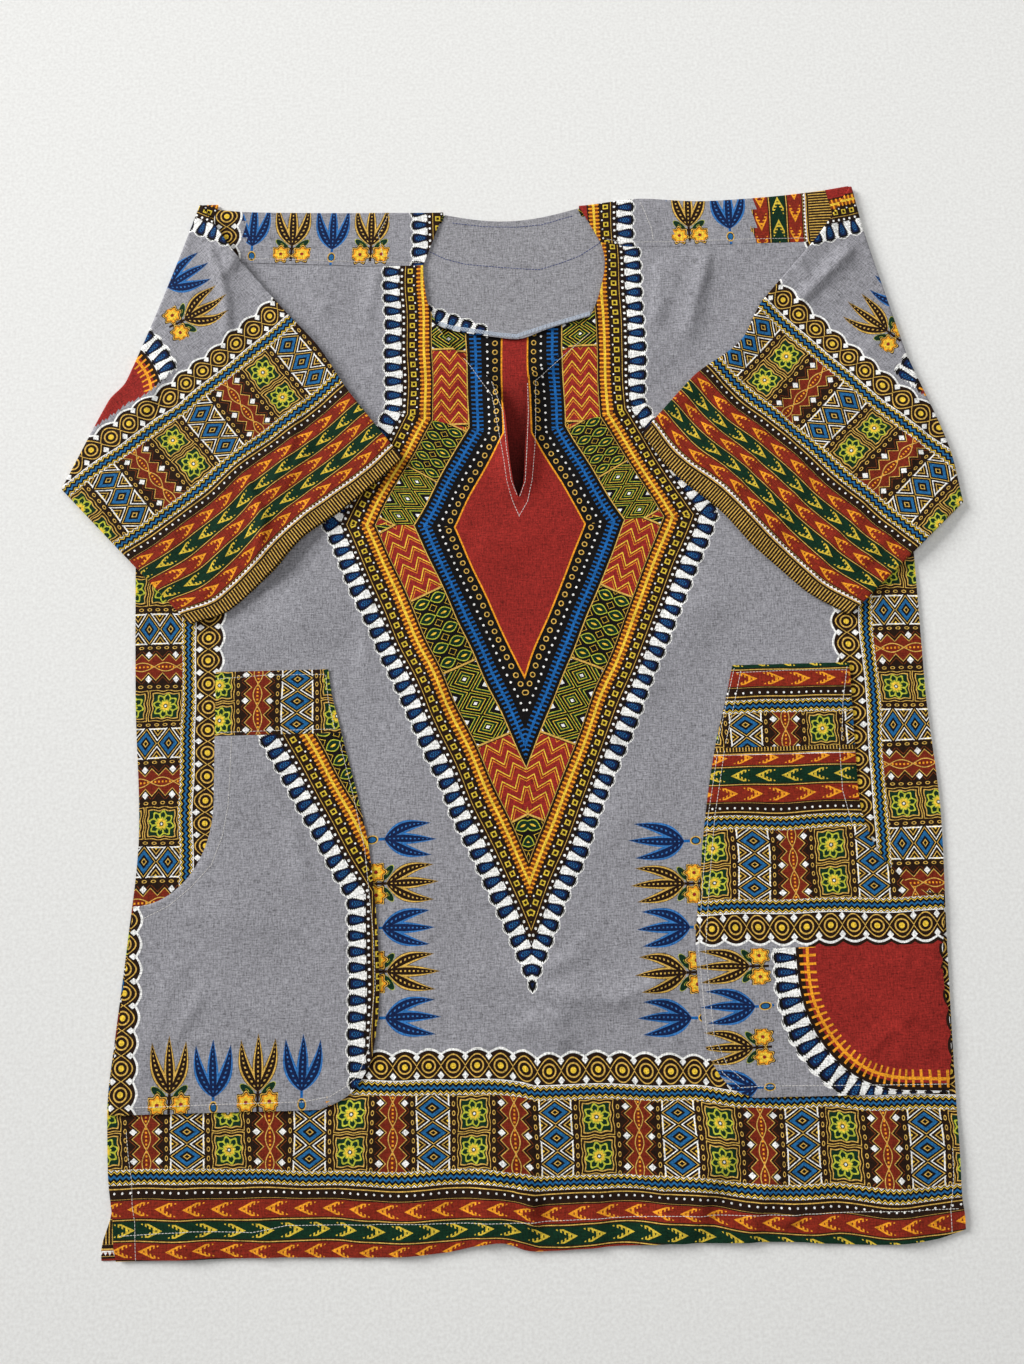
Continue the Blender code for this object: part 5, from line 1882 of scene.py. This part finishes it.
def sleeve_relief(sleeve, station, x, y, out, across, shown):
    """The ripples, creases and lifts of a sleeve beyond its fold; shown is whether it is in sight."""
    grow = smooth_step((out - SLEEVE_TURN_LENGTH) / RIPPLE_START)
    fine = ridges(x, y, SLEEVE_CREASES)
    if shown:
        fine += rumple(x, y, SLEEVE_RUMPLE) + bent_ridges(x, y, SLEEVE_BENDS)
    lift = grow * (ridges(x, y, sleeve.ripples) + fine) + grow * edge_lift(across, station)
    if out > SLEEVE_TURN_LENGTH and shown:
        lift += CUFF_LIFT * station.part**4 * math.sin(math.pi * across)
    return lift


def make_sleeve(name, sleeve, materials):
    line = FoldLine(sleeve)
    stations = sleeve_stations(sleeve, line)
    centre = mix_points(sleeve.fold_top, sleeve.fold_under, 0.5)
    cuff = stations[-1].top
    run = direction(cuff, stations[-1].under)[1:]
    rise = (-run[1], run[0])
    if rise[0] * (centre[0] - cuff[0]) + rise[1] * (centre[1] - cuff[1]) < 0:
        rise = (run[1], -run[0])
    points, prints = {}, {}
    for s, station in enumerate(stations):
        for k, (x, y, height, away, across, plain) in enumerate(sleeve_loop(station, sleeve, centre)):
            corners = []
            for reach in (-WALL / 2, WALL / 2):
                flat = (x + away[0] * reach, y + away[1] * reach)
                px, py, pz = fold_over(line, sleeve, flat, height + away[2] * reach, station.follow)
                out = line.measure(flat)[1]
                lift = sleeve_relief(sleeve, station, px, py, out, across, height < LAYER)
                corners.append((px, py, pz + lift))
            points[s, k] = tuple(corners)
            dx, dy = plain[0] - cuff[0], plain[1] - cuff[1]
            prints[s, k] = (dx * run[0] + dy * run[1], dx * rise[0] + dy * rise[1])
    around = len(points) // len(stations)
    cells = [
        ((s, k), (s + 1, k), (s + 1, (k + 1) % around), (s, (k + 1) % around))
        for s in range(len(stations) - 1)
        for k in range(around)
    ]

    def shown(s, v):
        """Where a place in the print lies once the sleeve is folded over."""
        return line.unfold(tuple(cuff[i] + s * run[i] + v * rise[i] for i in range(2)))

    return cloth(name, points, prints, cells, sleeve_zones(materials, name, shown))


# --- Sewing ---------------------------------------------------------------------------------------
# Rows of machine stitches, each a small capsule laid on whatever cloth is uppermost under it.

STITCH_PITCH = 2.5
STITCH_LENGTH = 2.05
STITCH_WIDTH = 0.42
FACING_STITCH_WIDTH = 0.58
STITCH_HEIGHT = 0.3
STITCH_PROUD = 0.06
STITCH_SIDES = 6
STITCH_VARIES = (0.9, 1.08)
STITCH_TURN = 0.07
# How far along a thread each ring stands, and its size.
STITCH_FORM = ((0.0, 0.45), (0.18, 1.0), (0.82, 1.0), (1.0, 0.45))
OVERLOCK_PITCH = 1.15
OVERLOCK_WIDTH = 3.4
OVERLOCK_SLANT = 1.3
SLANT_VARIES = (0.8, 1.2)
OVERLOCK_SIZE = (0.62, 0.42)
OVERLOCK_PROUD = 0.08
CHAIN_SIZE = (0.5, 0.36)
CHAIN_PROUD = 0.2
CHAIN_INSIDE = 0.3
CHAIN_HALF = 1.1

SEAM_ROWS = {
    "stitching_shoulders": (
        ((-223, 759.5), (-150, 754.5), (-76, 750.5)),
        ((75, 767), (93, 763.5), (160, 764.5), (237, 765)),
        ((-101, 794), (-110, 777), (-106, 756)),
        ((104, 799), (112, 776), (113, 766)),
    ),
    "stitching_front": (
        ((-64, 695), (-40, 664), (-21, 635), (-19, 624), (-16, 603), (-13, 583), (-11, 565), (-7, 550),
         (-2, 537)),
        ((59, 687), (34, 665), (14, 647), (13, 611), (12, 594), (9, 566), (5, 549), (-2, 537)),
        ((-21, 646), (-12.5, 620), (-10.5, 590), (-7.5, 565), (-3, 553)),
        ((7.5, 644), (7.5, 620), (5.5, 590), (3.5, 564), (-1, 553)),
        ((-300, 17), (-248, 19), (-206, 17), (-181, 21), (-101, 20), (0, 19), (90, 21), (180, 19),
         (298, 20)),
        ((-297, 87), (-295, 71), (-292, 54), (-291, 37), (-289, 26), (-288, 1)),
        ((296, 61), (295, 42), (293, 29), (291, 20), (291, 4)),
    ),
    "stitching_pocket_left": (
        ((-224, 370), (-225, 339), (-226, 318), (-230, 296), (-238, 275), (-253, 259), (-269, 246),
         (-290, 236)),
        ((-293, 104), (-204, 105), (-169, 105), (-150, 108), (-138, 115), (-130, 122), (-122, 140),
         (-117, 186), (-118, 221), (-124, 284), (-132, 322), (-143, 366)),
    ),
    "stitching_pocket_left_band": (
        ((-146, 374), (-151, 396), (-153, 417)),
        ((-236, 414.5), (-200, 416.5), (-153, 416)),
        ((-235.5, 373.5), (-190, 374), (-146, 374)),
    ),
    "stitching_pocket_right": (
        ((235, 350), (235, 318), (241, 290)),
        ((143, 350), (133, 301), (126, 249), (121, 203), (124, 141), (134, 117), (146, 106.5), (160, 107),
         (230, 106), (297, 105)),
        ((148, 350), (138, 301), (131, 249), (126, 203), (129, 143), (138, 121), (149, 111.5)),
    ),
    "stitching_pocket_right_band": (
        ((245, 412), (240, 386), (237, 355)),
        ((143, 355), (152, 388), (159, 413)),
        ((149, 355), (158, 388), (164, 411.5)),
        ((160, 409), (200, 410), (244, 409)),
    ),
}
FACING_ROWS_BLUE = (
    ((-50, 785.5), (-24, 781.5), (3, 780.4), (23, 782), (48, 789)),
    ((-71, 762), (-56, 754), (-39, 749), (-14, 746), (6, 744), (20, 743), (37, 748), (53, 754), (70, 765)),
)
OVERLOCK_EDGE = ((-64, 697.5), *((across, rise + 0.5) for across, rise in FACING_LOWER[1:-1]))

THREAD_GRAIN = 900.0
THREAD_SHADE = (0.5, 0.75)
THREAD_ROUGHNESS = 0.6
THREAD_SPECULAR = 0.2
THREAD_INKS = {"white": ink(218, 214, 208), "blue": ink(44, 60, 118), "pale_blue": ink(196, 206, 220)}


def thread(name):
    net = Net("thread_" + name)
    shade = product_and(net.noise(net.object_place(), Scale=THREAD_GRAIN), *THREAD_SHADE)
    net.fill(net.shader, Base_Color=net.shaded(THREAD_INKS[name], shade), Roughness=THREAD_ROUGHNESS,
             Specular_IOR_Level=THREAD_SPECULAR)
    return net.material


class Surface:
    """The uppermost cloth at a place, from all the pieces of cloth."""

    def __init__(self, pieces):
        verts, faces = [], []
        for piece in pieces:
            start = len(verts)
            verts += [tuple(v.co) for v in piece.data.vertices]
            faces += [[start + i for i in face.vertices] for face in piece.data.polygons]
        self.tree = BVHTree.FromPolygons(verts, faces)

    def point(self, x, y):
        """The place on the cloth, in millimetres, or None off its edge."""
        wx, wy, _ = to_world((x, y, 0.0))
        hit = self.tree.ray_cast(Vector((wx, wy, 1.0)), Vector((0, 0, -1)))[0]
        return None if hit is None else Vector((x, y, hit.z / MM))


def walk(points, pitch):
    """Places at an even pitch along a polyline, with the direction there."""
    left = pitch / 2
    for p, q in zip(points, points[1:]):
        length, tx, ty = direction(p, q)
        while left < length:
            yield p[0] + tx * left, p[1] + ty * left, tx, ty
            left += pitch
        left -= length


def capsule(verts, faces, ends, proud, size):
    """Adds one closed thread between two ends, or none where one of them is off the cloth."""
    if None in ends:
        return
    start, end = (p + Vector((0, 0, proud)) for p in ends)
    forward = (end - start).normalized()
    side = forward.cross(Vector((0, 0, 1))).normalized()
    over = side.cross(forward)
    first = len(verts)
    for place, scale in STITCH_FORM:
        middle = start.lerp(end, place)
        for i in range(STITCH_SIDES):
            angle = 2 * math.pi * i / STITCH_SIDES
            reach = side * (math.cos(angle) * size[0] / 2) + over * (math.sin(angle) * size[1] / 2)
            verts.append(to_world(middle + reach * scale))
    for ring in range(len(STITCH_FORM) - 1):
        low, high = first + ring * STITCH_SIDES, first + (ring + 1) * STITCH_SIDES
        for i in range(STITCH_SIDES):
            j = (i + 1) % STITCH_SIDES
            faces.append((low + j, low + i, high + i, high + j))
    faces.append(tuple(range(first, first + STITCH_SIDES)))
    faces.append(tuple(reversed(range(len(verts) - STITCH_SIDES, len(verts)))))


def finish_threads(name, verts, faces, material):
    piece = mesh_object(name, verts, faces, [material])
    piece.data.shade_smooth()
    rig.ride(piece, "root")
    return piece


def make_stitches(name, rows, surface, material, dice, width=STITCH_WIDTH):
    verts, faces = [], []
    for row in rows:
        for x, y, tx, ty in walk(row, STITCH_PITCH):
            half = STITCH_LENGTH / 2 * dice.uniform(*STITCH_VARIES)
            turn = dice.uniform(-STITCH_TURN, STITCH_TURN)
            tx, ty = tx - ty * turn, ty + tx * turn
            ends = [surface.point(x + tx * half * way, y + ty * half * way) for way in (-1, 1)]
            capsule(verts, faces, ends, STITCH_PROUD, (width, STITCH_HEIGHT))
    return finish_threads(name, verts, faces, material)


def make_overlock(name, edge, surface, material, dice):
    """Slanting threads that bind a raw edge, with a chain along their inner ends."""
    verts, faces = [], []
    for x, y, tx, ty in walk(edge, OVERLOCK_PITCH):
        slant = OVERLOCK_SLANT * dice.uniform(*SLANT_VARIES)
        inner = surface.point(x - ty * OVERLOCK_WIDTH + tx * slant, y + tx * OVERLOCK_WIDTH + ty * slant)
        capsule(verts, faces, (surface.point(x, y), inner), STITCH_PROUD + OVERLOCK_PROUD, OVERLOCK_SIZE)
    out = OVERLOCK_WIDTH - CHAIN_INSIDE
    for x, y, tx, ty in walk(edge, OVERLOCK_PITCH * 2):
        ends = [surface.point(x - ty * out + tx * way, y + tx * out + ty * way)
                for way in (-CHAIN_HALF, CHAIN_HALF)]
        capsule(verts, faces, ends, STITCH_PROUD + CHAIN_PROUD, CHAIN_SIZE)
    return finish_threads(name, verts, faces, material)


def make_sewing(cloths):
    surface, dice = Surface(cloths), random.Random(7)
    white, blue, pale = (thread(name) for name in THREAD_INKS)
    made = {name: make_stitches(name, rows, surface, white, dice) for name, rows in SEAM_ROWS.items()}
    made["stitching_facing"] = make_stitches("stitching_facing", FACING_ROWS_BLUE, surface, blue, dice,
                                             FACING_STITCH_WIDTH)
    made["overlock_facing"] = make_overlock("overlock_facing", OVERLOCK_EDGE, surface, pale, dice)
    return made


# --- Camera, light and floor ----------------------------------------------------------------------

CAMERA_PLACE = (-0.0069, -0.1060, 0.7780)
CAMERA_TURN = (8.0, 0.0, -1.5)
CAMERA_LENS = 27.07
CAMERA_NEAR = 0.01
FLOOR_HALF = 3.0
FLOOR_DROP = 0.0002
FLOOR_GRAIN = 420.0
FLOOR_INKS = ((0.3, ink(222, 221, 218)), (0.7, ink(236, 236, 233)))
FLOOR_ROUGHNESS = 0.8
FLOOR_BUMP = (0.2, 0.0004)
# The name, place, size and power of each lamp.
LIGHTS = (
    ("light_window", (-5.7, 3.6, 3.0), 3.0, 731.0),
    ("light_ceiling", (0.45, 0.4, 1.45), 1.1, 6.8),
)
ROOM_COLOUR = (0.98, 0.99, 1.0, 1.0)
ROOM_LIGHT = 0.26


def place_object(name, data, place, turn):
    made = bpy.data.objects.new(name, data)
    made.location, made.rotation_euler = place, turn
    bpy.context.scene.collection.objects.link(made)
    return made


def make_camera():
    data = bpy.data.cameras.new("camera")
    data.lens, data.clip_start = CAMERA_LENS, CAMERA_NEAR
    turn = [math.radians(angle) for angle in CAMERA_TURN]
    bpy.context.scene.camera = place_object("camera", data, CAMERA_PLACE, turn)


def make_floor():
    """A pale floor with a fine grain, just below the cloth."""
    net = Net("floor_pale")
    grain = net.noise(net.object_place(), Scale=FLOOR_GRAIN, Detail=3.0)
    ramp = net.node("ShaderNodeValToRGB")
    for element, (position, colour) in zip(ramp.color_ramp.elements, FLOOR_INKS):
        element.position, element.color = position, (*colour, 1.0)
    net.join(grain, ramp.inputs[0])
    net.fill(net.shader, Base_Color=ramp.outputs[0], Roughness=FLOOR_ROUGHNESS)
    net.bump(grain, *FLOOR_BUMP)
    corners = [(x * FLOOR_HALF, y * FLOOR_HALF, -FLOOR_DROP) for x, y in ((-1, -1), (1, -1), (1, 1), (-1, 1))]
    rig.stage(mesh_object("floor", corners, [(0, 1, 2, 3)], [net.material]))


def make_lights():
    world = bpy.data.worlds.new("soft_room")
    world.use_nodes = True
    background = world.node_tree.nodes["Background"]
    background.inputs["Color"].default_value = ROOM_COLOUR
    background.inputs["Strength"].default_value = ROOM_LIGHT
    bpy.context.scene.world = world
    for name, place, size, power in LIGHTS:
        data = bpy.data.lights.new(name, "AREA")
        data.shape, data.size, data.energy = "SQUARE", size, power
        place_object(name, data, place, (-Vector(place)).to_track_quat("-Z", "Y").to_euler())


# --- The whole ------------------------------------------------------------------------------------

# How far the tables' zero lies from the frame's.
SHIFT_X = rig.box("neck_facing_back")[0].x / MM - FACING_LEFT
SHIFT_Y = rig.box("pocket_left")[0].y / MM - POCKET_BOTTOM

# Each piece as it was cut, in metres and square metres, in the order in which they are made, with the
# solid that it replaces and its slot in the record.
COTTON, FACING = "printed_ground", "plain_facing"
Cut = namedtuple("Cut", "node slot width length area held rests_on sewing")
CUTS = (
    Cut("front_body", COTTON, 0.615, 0.765, 0.436, "laid", ["back_cloth"], ["stitching_front"]),
    Cut("back_body", COTTON, 0.620, 0.860, 0.487, "folded", ["floor"], ["stitching_shoulders"]),
    Cut("neck_facing_back", FACING, 0.168, 0.110, 0.015, "laid", ["back_cloth"],
        ["stitching_facing", "overlock_facing"]),
    Cut("pocket_left", COTTON, 0.195, 0.272, 0.042, "laid", ["front_cloth"], ["stitching_pocket_left"]),
    Cut("pocket_left_band", COTTON, 0.095, 0.050, 0.0044, "laid", ["front_cloth"],
        ["stitching_pocket_left_band"]),
    Cut("pocket_right", COTTON, 0.190, 0.253, 0.039, "laid", ["front_cloth"], ["stitching_pocket_right"]),
    Cut("pocket_right_band", COTTON, 0.110, 0.064, 0.0061, "laid", ["front_cloth"],
        ["stitching_pocket_right_band"]),
    Cut("sleeve_left", COTTON, 0.490, 0.250, 0.107, "folded", ["front_cloth"], []),
    Cut("sleeve_right", COTTON, 0.490, 0.250, 0.107, "folded", ["front_cloth"], []),
)


def make_cloths(materials):
    left, left_band, right, right_band = pocket_zones(materials)
    return (
        make_front(front_zones(materials)),
        make_back(back_zones(materials)),
        cloth("facing_cloth", *grid(FACING_ROWS, FACING_COLUMNS, facing_point), facing_zones(materials)),
        *make_pocket(POCKET_LEFT, left, left_band),
        *make_pocket(POCKET_RIGHT, right, right_band),
        make_sleeve("sleeve_left_cloth", SLEEVE_LEFT, materials),
        make_sleeve("sleeve_right_cloth", SLEEVE_RIGHT, materials),
    )


def main():
    bpy.context.scene.view_settings.view_transform = "Standard"
    make_camera()
    make_floor()
    make_lights()
    cloths = make_cloths(make_materials())
    sewing = make_sewing(cloths)
    for piece, cut in zip(cloths, CUTS):
        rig.replaces(piece, cut.node)
        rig.slot(piece, cut.slot)
    for piece in sewing.values():
        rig.slot(piece, COTTON)
    for piece, cut in zip(cloths, CUTS):
        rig.sheet(
            piece,
            flat=(cut.width, cut.length),
            held=cut.held,
            rests_on=cut.rests_on,
            area=cut.area,
            with_pieces=[sewing[name] for name in cut.sewing],
        )


main()
with open(SIZE_FILE, "w") as size_file:
    json.dump({"cad": CAD_BOX, "visual": [list(corner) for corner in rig.bounds()]}, size_file)
